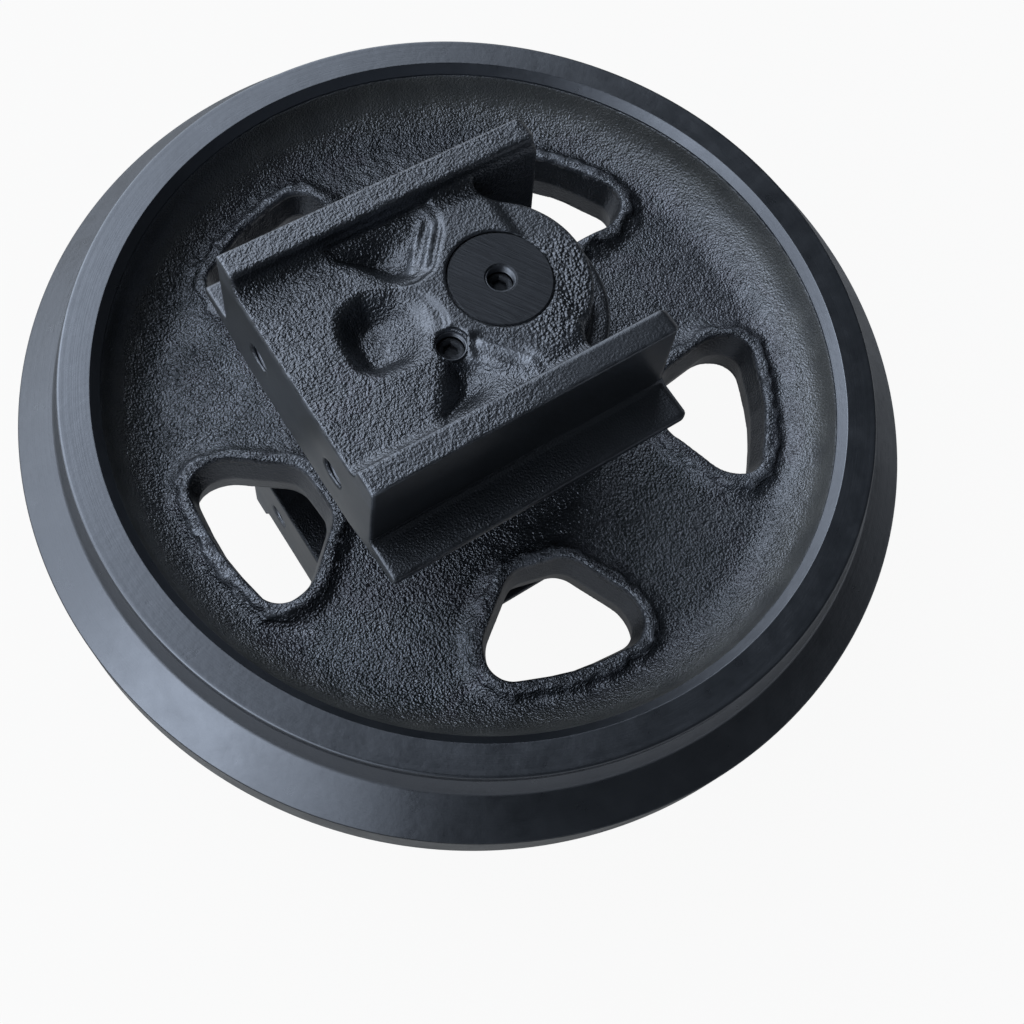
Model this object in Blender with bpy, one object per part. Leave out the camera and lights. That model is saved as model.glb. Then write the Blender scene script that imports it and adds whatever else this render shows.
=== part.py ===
"""Front idler of a tracked excavator, lying on its side.

A cast wheel with a centre flange and five lipped windows turns on two flanged
bushes round a fixed shaft. A cast guide bracket sits on each end of the shaft,
held by a lock pin. Floating seal pairs close the gaps between hub and brackets.

The wheel's axis is Z. X runs along the brackets, towards their machined end
faces. The part rests on the rails of the lower bracket, at Z = 0. Metres.
"""
import math

import bmesh
import bpy
from mathutils import Matrix

# Fits between neighbours
SEAT_GAP = 0.0003
RUNNING_GAP = 0.0005
THRUST_GAP = 0.0003
MERGE_DISTANCE = 0.00001
CUT_OVERRUN = 0.004

# Facets round an axis, the most that a rounded corner turns between two facets, and a bevel's shape
WHEEL_SEGMENTS = 60
SHAFT_SEGMENTS = 32
COLLAR_SEGMENTS = 40
SEAL_SEGMENTS = 20
PIN_SEGMENTS = 12
CORNER_FACET_TURN = math.radians(32)
ROUND_BEVEL = 0.5

# Wheel rim
FLANGE_RADIUS = 0.2500
FLANGE_LAND_WIDTH = 0.0268
FLANGE_ROOT_RADIUS = 0.2280
TREAD_RADIUS = 0.2235
TREAD_STEP_WIDTH = 0.0185
TREAD_FILLET_DEPTH = 0.0045
RIM_WIDTH = 0.0980
RIM_BORE_RADIUS = 0.2065
RIM_BORE_CHAMFER = 0.0045
RIM_EDGE_BREAK = 0.0010
RIM_WALL_DRAFT = 0.0065

# Wheel web and its windows
WEB_THICKNESS = 0.0250
DISH_FILLET = 0.0240
WINDOW_COUNT = 5
WINDOW_PHASE = math.radians(3.5)
WINDOW_OUTER_RADIUS = 0.1705
WINDOW_LENGTH = 0.0635
WINDOW_SIDE_LENGTH = 0.0230
WINDOW_WIDTH = 0.0900
WINDOW_NECK_WIDTH = 0.0340
WINDOW_CROWN = 0.0065
WINDOW_CORNER = 0.0150
WINDOW_NECK_CORNER = 0.0180
WINDOW_SHOULDER_BLEND = 0.0240
WINDOW_CROWN_BLEND = 0.1000
LIP_HEIGHT = 0.0085
LIP_CREST_WIDTH = 0.0065
LIP_FLARE = 0.0050

# Hub
HUB_RADIUS = 0.0600
HUB_DRAFT = 0.0050
HUB_LENGTH = 0.1240
HUB_FILLET = 0.0200
HUB_EDGE_BREAK = 0.0015
OIL_CHAMBER_LENGTH = 0.0240
OIL_CHAMBER_DEPTH = 0.0020

# Shaft and bushes
SHAFT_RADIUS = 0.02625
SHAFT_STANDOUT = 0.0015
SHAFT_CHAMFER = 0.0010
BUSH_WALL = 0.0042
BUSH_FLANGE_RADIUS = 0.0380
BUSH_FLANGE_THICKNESS = 0.0040
O_RING_GROOVE_DEPTH = 0.0030
O_RING_WIDTH = 0.0034
O_RING_HEIGHT_ABOVE_HOUSING = 0.0260
END_HOLE_RADIUS = 0.0072
END_HOLE_DEPTH = 0.0140
GALLERY_RADIUS = 0.0040
CROSS_HOLE_RADIUS = 0.0030

# Floating seals
SEAL_HOUSING_RADIUS = 0.0490
SEAL_HOUSING_DEPTH = 0.0120
HUB_TO_COLLAR_GAP = 0.0027
SEAL_RING_BORE_RADIUS = 0.0405
SEAL_RING_SEAT_RADIUS = 0.0427
SEAL_RING_LIP_RADIUS = 0.0472
SEAL_RING_LIP_WIDTH = 0.0032
SEAL_RING_LENGTH = 0.0100
TORIC_WIDTH = 0.0056

# Guide bracket, heights counted outwards from the gap at the hub
COLLAR_RADIUS = 0.0595
COLLAR_PROJECTION = 0.0093
COLLAR_HEIGHT = 0.0463
COLLAR_EDGE_BREAK = 0.0015
BRACKET_DEPTH = 0.0630
RAIL_STEP = 0.0115
RAIL_SPAN = 0.1390
RAIL_THICKNESS = 0.0140
RAIL_INNER_DRAFT = 0.0010
RAIL_FILLET = 0.0085
LEDGE_SPAN = 0.1840
LEDGE_RISE = 0.0100
LEDGE_THICKNESS = 0.0060
LEDGE_FILLET = 0.0035
BASE_SPAN = 0.1000
END_FACE_REACH = 0.1140
HORN_REACH = 0.0650
HORN_DRAFT = 0.0080
HORN_CORNER = 0.0060
LEDGE_CORNER = 0.0100
BOSS_RADIUS = 0.0460
BOSS_DRAFT = 0.0050
NOTCH_START = 0.0180
NOTCH_CORNER = 0.0075
NOTCH_WALL_STEP = 0.0006

# Pockets cast into the bracket's outer face
WELL_INNER_REACH = 0.0350
WELL_SHOULDER_REACH = 0.0560
WELL_OUTER_REACH = 0.0835
WELL_NECK_WIDTH = 0.0100
WELL_WIDTH = 0.0390
WELL_END_WIDTH = 0.0310
WELL_CORNER = 0.0090
WELL_DEPTH = 0.0140
SIDE_POCKET_INNER_REACH = -0.0020
SIDE_POCKET_OUTER_REACH = 0.0700
SIDE_POCKET_APEX_REACH = 0.0400
SIDE_POCKET_SPREAD = 0.0500
SIDE_POCKET_APEX_SPREAD = 0.0265
SIDE_POCKET_CORNER = 0.0030
SIDE_POCKET_DEPTH = 0.0120
POCKET_FLOOR_SHARE = 0.72

# Holes in the bracket
YOKE_HOLE_SPACING = 0.0700
YOKE_HOLE_RADIUS = 0.00725
YOKE_HOLE_DEPTH = 0.0320
YOKE_HOLE_HEIGHT = 0.0310
FILL_HOLE_REACH = 0.0395
FILL_HOLE_OFFSET = 0.0180
FILL_HOLE_RADIUS = 0.0073
FILL_HOLE_DEPTH = 0.0200
FILL_PASSAGE_RADIUS = 0.0025
PLUG_THICKNESS = 0.0070
PLUG_SINK = 0.0060
PLUG_SOCKET_RADIUS = 0.0040
PLUG_SOCKET_DEPTH = 0.0035
LOCK_PIN_RADIUS = 0.0060
LOCK_PIN_BELOW_FACE = 0.0165
LOCK_PIN_BITE = 0.0130
LOCK_PIN_RECESS = 0.0020

# Levels along the axis, from the wheel's middle plane outwards
RIM_FACE = RIM_WIDTH / 2
WEB_FACE = WEB_THICKNESS / 2
LIP_CREST = WEB_FACE + LIP_HEIGHT
HUB_FACE = HUB_LENGTH / 2
HOUSING_FLOOR = HUB_FACE - SEAL_HOUSING_DEPTH
SEAL_PLANE = HUB_FACE + HUB_TO_COLLAR_GAP / 2
COLLAR_FACE = HUB_FACE + HUB_TO_COLLAR_GAP
COLLAR_TOP = COLLAR_FACE + COLLAR_HEIGHT
BRACKET_HOUSING_TOP = COLLAR_FACE + SEAL_HOUSING_DEPTH
BASE_FACE = COLLAR_FACE + COLLAR_PROJECTION
LEDGE_UNDERSIDE = BASE_FACE + LEDGE_RISE
LEDGE_TOP = LEDGE_UNDERSIDE + LEDGE_THICKNESS
WEB_TOP = BASE_FACE + BRACKET_DEPTH
RAIL_TOP = WEB_TOP + RAIL_STEP
SHAFT_END = WEB_TOP + SHAFT_STANDOUT
BUSH_FLANGE_TOP = HOUSING_FLOOR + SEAT_GAP + BUSH_FLANGE_THICKNESS
NOSE_END = BUSH_FLANGE_TOP + THRUST_GAP
YOKE_HOLE_LEVEL = BASE_FACE + YOKE_HOLE_HEIGHT
LOCK_PIN_LEVEL = WEB_TOP - LOCK_PIN_BELOW_FACE
O_RING_LEVEL = BRACKET_HOUSING_TOP + O_RING_HEIGHT_ABOVE_HOUSING

# Radii and offsets that neighbours share
RAIL_OUTER = RAIL_SPAN / 2
RAIL_INNER = RAIL_OUTER - RAIL_THICKNESS
LEDGE_OUTER = LEDGE_SPAN / 2
BRACKET_BORE_RADIUS = SHAFT_RADIUS + SEAT_GAP
BUSH_BORE_RADIUS = SHAFT_RADIUS + RUNNING_GAP
BUSH_OUTER_RADIUS = BUSH_BORE_RADIUS + BUSH_WALL
HUB_BORE_RADIUS = BUSH_OUTER_RADIUS + SEAT_GAP
LOCK_HOLE_RADIUS = LOCK_PIN_RADIUS + SEAT_GAP

# Both faces of the wheel, and both brackets, are alike
SIDES = {"upper": Matrix.Identity(4), "lower": Matrix.Rotation(math.pi, 4, "X")}


def clear_scene():
    for thing in list(bpy.data.objects):
        bpy.data.objects.remove(thing, do_unlink=True)


def finish_material(name, colour, roughness, metallic):
    material = bpy.data.materials.new(name)
    material.use_nodes = True
    shader = material.node_tree.nodes["Principled BSDF"]
    shader.inputs["Base Color"].default_value = (*colour, 1.0)
    shader.inputs["Roughness"].default_value = roughness
    shader.inputs["Metallic"].default_value = metallic
    return material


def black_cast_paint():
    return finish_material("black_cast_paint", (0.018, 0.020, 0.024), 0.55, 0.0)


def black_shaft_paint():
    return finish_material("black_shaft_paint", (0.030, 0.033, 0.038), 0.40, 0.3)


def bush_bronze():
    return finish_material("bush_bronze", (0.48, 0.32, 0.14), 0.35, 0.9)


def seal_iron():
    return finish_material("seal_iron", (0.40, 0.40, 0.41), 0.22, 1.0)


def seal_rubber():
    return finish_material("seal_rubber", (0.015, 0.015, 0.015), 0.70, 0.0)


def pin_steel():
    return finish_material("pin_steel", (0.33, 0.33, 0.34), 0.35, 1.0)


def object_from(bm, name, material=None, parent=None, matrix=None):
    """Turn a bmesh into a named object, its faces pointing outwards."""
    bmesh.ops.remove_doubles(bm, verts=bm.verts, dist=MERGE_DISTANCE)
    bmesh.ops.recalc_face_normals(bm, faces=bm.faces)
    mesh = bpy.data.meshes.new(name)
    bm.to_mesh(mesh)
    bm.free()
    mesh.shade_smooth()
    mesh.set_sharp_from_angle(angle=math.radians(35))
    thing = bpy.data.objects.new(name, mesh)
    bpy.context.scene.collection.objects.link(thing)
    if material:
        mesh.materials.append(material)
    if parent:
        thing.parent = parent
    if matrix:
        thing.matrix_basis = matrix
    return thing


def empty(name, location):
    holder = bpy.data.objects.new(name, None)
    holder.location = location
    bpy.context.scene.collection.objects.link(holder)
    return holder


def boolean(target, tool, operation):
    """Add or cut the tool's shape; the tool stays in the scene as a wire guide."""
    modifier = target.modifiers.new(tool.name, "BOOLEAN")
    modifier.operation = operation
    modifier.solver = "EXACT"
    modifier.object = tool
    tool.hide_render = True
    tool.display_type = "WIRE"
    tool.parent = target


def turned(bm, profile, segments, closed=True):
    """Spin a profile of (radius, height) points round the Z axis."""
    points = [bm.verts.new((radius, 0.0, height)) for radius, height in profile]
    pairs = list(zip(points, points[1:]))
    if closed:
        pairs.append((points[-1], points[0]))
    edges = [bm.edges.new(pair) for pair in pairs]
    bmesh.ops.spin(
        bm, geom=points + edges, cent=(0, 0, 0), axis=(0, 0, 1),
        angle=math.tau, steps=segments, use_merge=True,
    )
    bmesh.ops.remove_doubles(bm, verts=bm.verts, dist=MERGE_DISTANCE)
    return bm


def lofted(bm, outlines):
    """Skin a stack of outlines, each a list of (x, y, z) points, and cap both ends."""
    rings = [[bm.verts.new(point) for point in outline] for outline in outlines]
    for lower, upper in zip(rings, rings[1:]):
        for index in range(len(lower)):
            after = (index + 1) % len(lower)
            bm.faces.new((lower[index], lower[after], upper[after], upper[index]))
    bm.faces.new(reversed(rings[0]))
    bm.faces.new(rings[-1])
    return bm


def at_height(outline, height):
    return [(x, y, height) for x, y in outline]


def arc(centre, radius, start, end, steps):
    """Points on an arc in degrees, both ends included."""
    angles = [math.radians(start + (end - start) * step / steps) for step in range(steps + 1)]
    return [(centre[0] + radius * math.cos(a), centre[1] + radius * math.sin(a)) for a in angles]


def corner_turn(corners, index):
    """Direction from a corner to the one before it, and the turn from there to the one after."""
    x, y = corners[index]
    before = corners[index - 1]
    after = corners[(index + 1) % len(corners)]
    to_before = math.atan2(before[1] - y, before[0] - x)
    to_after = math.atan2(after[1] - y, after[0] - x)
    return to_before, (to_after - to_before + math.pi) % math.tau - math.pi


def facet_counts(corners):
    """Number of facets that round each corner of an outline."""
    turns = [corner_turn(corners, index)[1] for index in range(len(corners))]
    return [math.ceil((math.pi - abs(turn)) / CORNER_FACET_TURN) for turn in turns]


def rounded_outline(corners, radii, facets=None):
    """Round each corner of an outline to its own radius."""
    points = []
    for index, steps in enumerate(facets or facet_counts(corners)):
        x, y = corners[index]
        to_before, turn = corner_turn(corners, index)
        half = abs(turn) / 2
        bisector = to_before + turn / 2
        radius = radii[index]
        reach = radius / math.sin(half)
        centre_x = x + reach * math.cos(bisector)
        centre_y = y + reach * math.sin(bisector)
        sweep = (math.pi - 2 * half) * (1 if turn > 0 else -1)
        first = bisector + math.pi + sweep / 2
        for step in range(steps + 1):
            angle = first - sweep * step / steps
            points.append((centre_x + radius * math.cos(angle), centre_y + radius * math.sin(angle)))
    return points


def scaled(outline, share):
    """Draw an outline in towards its middle, or out from it."""
    middle_x = sum(x for x, y in outline) / len(outline)
    middle_y = sum(y for x, y in outline) / len(outline)
    return [(middle_x + (x - middle_x) * share, middle_y + (y - middle_y) * share) for x, y in outline]


def mirrored_profile(half):
    """Repeat a profile's upper half below the middle plane."""
    return half + [(radius, -height) for radius, height in reversed(half)]


def wheel_profile():
    """Section of the wheel without its bore, from the hub's face out to the flange and back."""
    hub_root = HUB_RADIUS + HUB_DRAFT
    wall_top = RIM_BORE_RADIUS - RIM_BORE_CHAMFER
    wall_foot = wall_top - RIM_WALL_DRAFT
    root_height = RIM_FACE - TREAD_STEP_WIDTH
    land = FLANGE_LAND_WIDTH / 2
    hub = [
        (0.0, HUB_FACE),
        (HUB_RADIUS - HUB_EDGE_BREAK, HUB_FACE),
        (HUB_RADIUS, HUB_FACE - HUB_EDGE_BREAK),
    ]
    hub_foot = arc((hub_root + HUB_FILLET, WEB_FACE + HUB_FILLET), HUB_FILLET, 180, 270, 3)
    dish_foot = arc((wall_foot - DISH_FILLET, WEB_FACE + DISH_FILLET), DISH_FILLET, 270, 345, 4)
    rim = [
        (wall_top, RIM_FACE - RIM_BORE_CHAMFER),
        (RIM_BORE_RADIUS, RIM_FACE),
        (TREAD_RADIUS - RIM_EDGE_BREAK, RIM_FACE),
        (TREAD_RADIUS, RIM_FACE - RIM_EDGE_BREAK),
        (TREAD_RADIUS, root_height + TREAD_FILLET_DEPTH),
        (TREAD_RADIUS + (FLANGE_ROOT_RADIUS - TREAD_RADIUS) / 3, root_height + TREAD_FILLET_DEPTH / 3),
        (FLANGE_ROOT_RADIUS, root_height),
        (FLANGE_RADIUS - RIM_EDGE_BREAK, land + RIM_EDGE_BREAK),
        (FLANGE_RADIUS, land),
    ]
    return mirrored_profile(hub + hub_foot + dish_foot + rim)


def hub_bore_profile():
    """Seal housings at both ends, bush seats, and the oil chamber between the bushes."""
    chamber = OIL_CHAMBER_LENGTH / 2
    end = HUB_FACE + CUT_OVERRUN
    return mirrored_profile([
        (0.0, end),
        (SEAL_HOUSING_RADIUS, end),
        (SEAL_HOUSING_RADIUS, HOUSING_FLOOR),
        (HUB_BORE_RADIUS, HOUSING_FLOOR),
        (HUB_BORE_RADIUS, chamber),
        (HUB_BORE_RADIUS + OIL_CHAMBER_DEPTH, chamber),
    ])


def window_corners(widening):
    """Corners of one window, on +X: a narrow neck at the hub, wide and crowned at the rim."""
    inner = WINDOW_OUTER_RADIUS - WINDOW_LENGTH - widening
    outer = WINDOW_OUTER_RADIUS + widening
    shoulder = WINDOW_OUTER_RADIUS - WINDOW_CROWN - WINDOW_SIDE_LENGTH
    side = WINDOW_WIDTH / 2 + widening
    neck = WINDOW_NECK_WIDTH / 2 + widening / 2
    return [
        (inner, -neck),
        (shoulder, -side),
        (outer - WINDOW_CROWN, -side),
        (outer, 0.0),
        (outer - WINDOW_CROWN, side),
        (shoulder, side),
        (inner, neck),
    ]


def window_outline(widening):
    """Rounded outline of one window, with the same facets at each widening."""
    neck_corner = WINDOW_NECK_CORNER + widening
    rim_corner = WINDOW_CORNER + widening
    half_radii = [neck_corner, WINDOW_SHOULDER_BLEND, rim_corner]
    radii = half_radii + [WINDOW_CROWN_BLEND] + list(reversed(half_radii))
    return rounded_outline(window_corners(widening), radii, facet_counts(window_corners(0.0)))


def window_solids(name, levels):
    """One closed solid at each window, skinned through (widening, height) levels."""
    bm = bmesh.new()
    for index in range(WINDOW_COUNT):
        turn = Matrix.Rotation(WINDOW_PHASE + index * math.tau / WINDOW_COUNT, 4, "Z")
        one = lofted(bmesh.new(), [at_height(window_outline(w), h) for w, h in levels])
        one.transform(turn)
        scrap = bpy.data.meshes.new(name)
        one.to_mesh(scrap)
        one.free()
        bm.from_mesh(scrap)
        bpy.data.meshes.remove(scrap)
    return object_from(bm, name)


def idler_wheel(parent):
    body = turned(bmesh.new(), wheel_profile(), WHEEL_SEGMENTS, closed=False)
    wheel = object_from(body, "idler_wheel", black_cast_paint(), parent)
    foot = LIP_CREST_WIDTH + LIP_FLARE
    lip_levels = [
        (LIP_CREST_WIDTH, -LIP_CREST),
        (foot, -WEB_FACE),
        (foot, WEB_FACE),
        (LIP_CREST_WIDTH, LIP_CREST),
    ]
    reach = LIP_CREST + CUT_OVERRUN
    boolean(wheel, window_solids("window_lips", lip_levels), "UNION")
    boolean(wheel, window_solids("window_openings", [(0.0, -reach), (0.0, reach)]), "DIFFERENCE")
    bore = turned(bmesh.new(), hub_bore_profile(), SHAFT_SEGMENTS, closed=False)
    boolean(wheel, object_from(bore, "hub_bore"), "DIFFERENCE")
    return wheel


def bush(side, parent, material):
    """Flanged bush, pressed into the hub from one end."""
    profile = [
        (BUSH_BORE_RADIUS, OIL_CHAMBER_LENGTH / 2),
        (BUSH_OUTER_RADIUS, OIL_CHAMBER_LENGTH / 2),
        (BUSH_OUTER_RADIUS, HOUSING_FLOOR + SEAT_GAP),
        (BUSH_FLANGE_RADIUS, HOUSING_FLOOR + SEAT_GAP),
        (BUSH_FLANGE_RADIUS, BUSH_FLANGE_TOP),
        (BUSH_BORE_RADIUS, BUSH_FLANGE_TOP),
    ]
    sleeve = turned(bmesh.new(), profile, SHAFT_SEGMENTS)
    return object_from(sleeve, "bush_" + side, material, parent, SIDES[side])


def seal_ring(name, side, inner_face, direction, parent, material):
    """Metal ring of a floating seal: its lapped face at inner_face, its body along direction."""
    heights = [0.0, SEAL_RING_LIP_WIDTH, SEAL_RING_LIP_WIDTH, SEAL_RING_LENGTH, SEAL_RING_LENGTH, 0.0]
    radii = [
        SEAL_RING_LIP_RADIUS,
        SEAL_RING_LIP_RADIUS,
        SEAL_RING_SEAT_RADIUS,
        SEAL_RING_SEAT_RADIUS,
        SEAL_RING_BORE_RADIUS,
        SEAL_RING_BORE_RADIUS,
    ]
    profile = [(radius, inner_face + direction * height) for radius, height in zip(radii, heights)]
    return object_from(turned(bmesh.new(), profile, SEAL_SEGMENTS), name, material, parent, SIDES[side])


def seal_toric(name, side, inner_face, direction, parent, material):
    """Rubber ring squeezed between the metal ring's seat and its housing."""
    start = SEAL_RING_LIP_WIDTH + SEAT_GAP
    middle = start + TORIC_WIDTH / 2
    end = start + TORIC_WIDTH
    inner = SEAL_RING_SEAT_RADIUS + SEAT_GAP
    outer = SEAL_HOUSING_RADIUS - SEAT_GAP
    shoulder = (outer - inner) / 4
    section = [
        (inner + shoulder, start),
        (outer - shoulder, start),
        (outer, middle),
        (outer - shoulder, end),
        (inner + shoulder, end),
        (inner, middle),
    ]
    profile = [(radius, inner_face + direction * height) for radius, height in section]
    return object_from(turned(bmesh.new(), profile, SEAL_SEGMENTS), name, material, parent, SIDES[side])


def cylinder_tool(name, radius, start, end, axis, place, segments=PIN_SEGMENTS):
    """Round bar from start to end along X, Y or Z, through place."""
    profile = [(0.0, start), (radius, start), (radius, end), (0.0, end)]
    bm = turned(bmesh.new(), profile, segments, closed=False)
    spin = {"X": Matrix.Rotation(math.pi / 2, 4, "Y"), "Y": Matrix.Rotation(-math.pi / 2, 4, "X")}
    bm.transform(Matrix.Translation(place) @ spin.get(axis, Matrix.Identity(4)))
    return object_from(bm, name)


def shaft(parent):
    """Fixed shaft with plug holes, an oil gallery, O-ring grooves and lock pin seats."""
    groove = SHAFT_RADIUS - O_RING_GROOVE_DEPTH
    half_width = O_RING_WIDTH / 2 + SEAT_GAP
    hole_floor = SHAFT_END - END_HOLE_DEPTH
    profile = mirrored_profile([
        (0.0, SHAFT_END),
        (SHAFT_RADIUS - SHAFT_CHAMFER, SHAFT_END),
        (SHAFT_RADIUS, SHAFT_END - SHAFT_CHAMFER),
        (SHAFT_RADIUS, O_RING_LEVEL + half_width),
        (groove, O_RING_LEVEL + half_width),
        (groove, O_RING_LEVEL - half_width),
        (SHAFT_RADIUS, O_RING_LEVEL - half_width),
    ])
    bar = object_from(turned(bmesh.new(), profile, SHAFT_SEGMENTS, closed=False), "shaft",
                      black_shaft_paint(), parent)
    drill = mirrored_profile([
        (0.0, SHAFT_END + CUT_OVERRUN),
        (END_HOLE_RADIUS, SHAFT_END + CUT_OVERRUN),
        (END_HOLE_RADIUS, hole_floor),
        (GALLERY_RADIUS, hole_floor),
    ])
    gallery = object_from(turned(bmesh.new(), drill, PIN_SEGMENTS, closed=False), "oil_gallery")
    boolean(bar, gallery, "DIFFERENCE")
    reach = SHAFT_RADIUS + CUT_OVERRUN
    oil_way = cylinder_tool("oil_cross_hole", CROSS_HOLE_RADIUS, -reach, 0.0, "X", (0, 0, 0))
    boolean(bar, oil_way, "DIFFERENCE")
    for side, turn in SIDES.items():
        level = (turn @ Matrix.Translation((0, 0, LOCK_PIN_LEVEL))).translation
        seat = cylinder_tool("pin_seat_" + side, LOCK_HOLE_RADIUS, -reach, LOCK_PIN_BITE - SHAFT_RADIUS,
                             "X", level)
        boolean(bar, seat, "DIFFERENCE")
    return bar


def o_ring(side, parent, material):
    inner = SHAFT_RADIUS - O_RING_GROOVE_DEPTH + SEAT_GAP
    outer = BRACKET_BORE_RADIUS - SEAT_GAP
    shoulder = (outer - inner) / 4
    half = O_RING_WIDTH / 2
    profile = [
        (inner + shoulder, O_RING_LEVEL - half),
        (outer - shoulder, O_RING_LEVEL - half),
        (outer, O_RING_LEVEL),
        (outer - shoulder, O_RING_LEVEL + half),
        (inner + shoulder, O_RING_LEVEL + half),
        (inner, O_RING_LEVEL),
    ]
    ring = turned(bmesh.new(), profile, SHAFT_SEGMENTS)
    return object_from(ring, "shaft_o_ring_" + side, material, parent, SIDES[side])


def socket_plug(name, radius, top, place, side, parent, material):
    """Screw plug with a hexagon socket, sunk in its hole."""
    bottom = top - PLUG_THICKNESS
    body = [(0.0, bottom), (radius, bottom), (radius, top), (0.0, top)]
    bm = turned(bmesh.new(), body, PIN_SEGMENTS, closed=False)
    bm.transform(Matrix.Translation(place))
    plug = object_from(bm, name, material, parent, SIDES[side])
    hexagon = cylinder_tool(name + "_socket", PLUG_SOCKET_RADIUS, top - PLUG_SOCKET_DEPTH, top + CUT_OVERRUN,
                            "Z", place, segments=6)
    boolean(plug, hexagon, "DIFFERENCE")
    return plug


def lock_pin(side, parent, material):
    """Pin through the boss wall into the shaft, on the side away from the end face."""
    outer_end = -(BOSS_RADIUS - LOCK_PIN_RECESS)
    inner_end = LOCK_PIN_BITE - SHAFT_RADIUS - SEAT_GAP
    profile = [(0.0, outer_end), (LOCK_PIN_RADIUS, outer_end), (LOCK_PIN_RADIUS, inner_end), (0.0, inner_end)]
    bm = turned(bmesh.new(), profile, PIN_SEGMENTS, closed=False)
    bm.transform(Matrix.Translation((0, 0, LOCK_PIN_LEVEL)) @ Matrix.Rotation(math.pi / 2, 4, "Y"))
    return object_from(bm, "lock_pin_" + side, material, parent, SIDES[side])


def channel_section():
    """Cross-section of the bracket as (y, z): base, two ledges and two rails."""
    fillet_foot = RAIL_INNER - RAIL_INNER_DRAFT - RAIL_FILLET
    ledge_fillet = arc((RAIL_OUTER + LEDGE_FILLET, LEDGE_TOP + LEDGE_FILLET), LEDGE_FILLET, 270, 180, 2)
    rail_fillet = arc((fillet_foot, WEB_TOP + RAIL_FILLET), RAIL_FILLET, 0, -90, 3)
    half = [
        (BASE_SPAN / 2, BASE_FACE),
        (LEDGE_OUTER, LEDGE_UNDERSIDE),
        (LEDGE_OUTER, LEDGE_TOP),
    ]
    half += ledge_fillet
    half += [(RAIL_OUTER, RAIL_TOP), (RAIL_INNER, RAIL_TOP)]
    half += rail_fillet
    return half + [(-y, z) for y, z in reversed(half)]


def channel():
    """Bracket body drawn out along X, its free end drafted and rounded."""
    section = channel_section()
    slope = HORN_DRAFT / (RAIL_TOP - BASE_FACE)
    far = [(-HORN_REACH + (z - BASE_FACE) * slope, y, z) for y, z in section]
    near = [(END_FACE_REACH, y, z) for y, z in section]
    bm = lofted(bmesh.new(), [far, near])
    bmesh.ops.recalc_face_normals(bm, faces=bm.faces)
    rail_edges = []
    ledge_edges = []
    for edge in bm.edges:
        ends = [vert.co for vert in edge.verts]
        if max(end.x for end in ends) > 0:
            continue
        offset = abs(ends[0].y)
        upright = abs(ends[0].z - ends[1].z) > MERGE_DISTANCE and abs(ends[0].y - ends[1].y) < MERGE_DISTANCE
        if upright and abs(offset - RAIL_OUTER) < MERGE_DISTANCE:
            rail_edges.append(edge)
        if upright and abs(offset - LEDGE_OUTER) < MERGE_DISTANCE:
            ledge_edges.append(edge)
    bmesh.ops.bevel(bm, geom=rail_edges, offset=HORN_CORNER, segments=3, profile=ROUND_BEVEL, affect="EDGES")
    ledge_edges = [edge for edge in ledge_edges if edge.is_valid]
    bmesh.ops.bevel(bm, geom=ledge_edges, offset=LEDGE_CORNER, segments=3, profile=ROUND_BEVEL,
                    affect="EDGES")
    return bm


def notch_outline(boss_radius, rail_side):
    """Plan of the space round the boss, between the two horns."""
    outside = -(HORN_REACH + 5 * CUT_OVERRUN)
    centre_x = -(NOTCH_START + NOTCH_CORNER)
    meeting = math.acos(centre_x / (boss_radius + NOTCH_CORNER))
    centre_y = (boss_radius + NOTCH_CORNER) * math.sin(meeting)
    meeting = math.degrees(meeting)
    boss = arc((0, 0), boss_radius, meeting, 360 - meeting, 12)
    corner = arc((centre_x, centre_y), NOTCH_CORNER, 90, meeting - 180, 5)[1:-1]
    upper = [(outside, rail_side), (centre_x, rail_side)] + [(x, min(y, rail_side)) for x, y in corner]
    lower = [(x, -y) for x, y in reversed(upper)]
    return upper + boss + lower


def horn_notch():
    """Space round the boss, drafted like the boss itself."""
    wall = RAIL_INNER - RAIL_INNER_DRAFT - NOTCH_WALL_STEP
    stack = [
        at_height(notch_outline(BOSS_RADIUS + BOSS_DRAFT, wall), BASE_FACE - CUT_OVERRUN),
        at_height(notch_outline(BOSS_RADIUS, wall), RAIL_TOP + CUT_OVERRUN),
    ]
    bm = lofted(bmesh.new(), stack)
    bmesh.ops.triangulate(bm, faces=bm.faces)
    return object_from(bm, "horn_notch")


def pocket(name, corners, corner_radius, depth):
    """Drafted pocket, its outline given at the web's face and carried on up to the rails' tops."""
    outline = rounded_outline(corners, [corner_radius] * len(corners))
    mouth_share = 1 + (1 - POCKET_FLOOR_SHARE) * RAIL_STEP / depth
    stack = [
        at_height(scaled(outline, POCKET_FLOOR_SHARE), WEB_TOP - depth),
        at_height(scaled(outline, mouth_share), RAIL_TOP),
    ]
    return object_from(lofted(bmesh.new(), stack), name)


def pockets():
    """A well in the middle of the web, and a pocket on each side of it."""
    well = [
        (WELL_OUTER_REACH, -WELL_END_WIDTH / 2),
        (WELL_OUTER_REACH, WELL_END_WIDTH / 2),
        (WELL_SHOULDER_REACH, WELL_WIDTH / 2),
        (WELL_INNER_REACH, WELL_NECK_WIDTH / 2),
        (WELL_INNER_REACH, -WELL_NECK_WIDTH / 2),
        (WELL_SHOULDER_REACH, -WELL_WIDTH / 2),
    ]
    tools = [pocket("well", well, WELL_CORNER, WELL_DEPTH)]
    for side in (1, -1):
        corners = [
            (SIDE_POCKET_OUTER_REACH, side * SIDE_POCKET_SPREAD),
            (SIDE_POCKET_APEX_REACH, side * SIDE_POCKET_APEX_SPREAD),
            (SIDE_POCKET_INNER_REACH, side * SIDE_POCKET_SPREAD),
        ]
        tools.append(pocket("side_pocket", corners, SIDE_POCKET_CORNER, SIDE_POCKET_DEPTH))
    return tools


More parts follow.
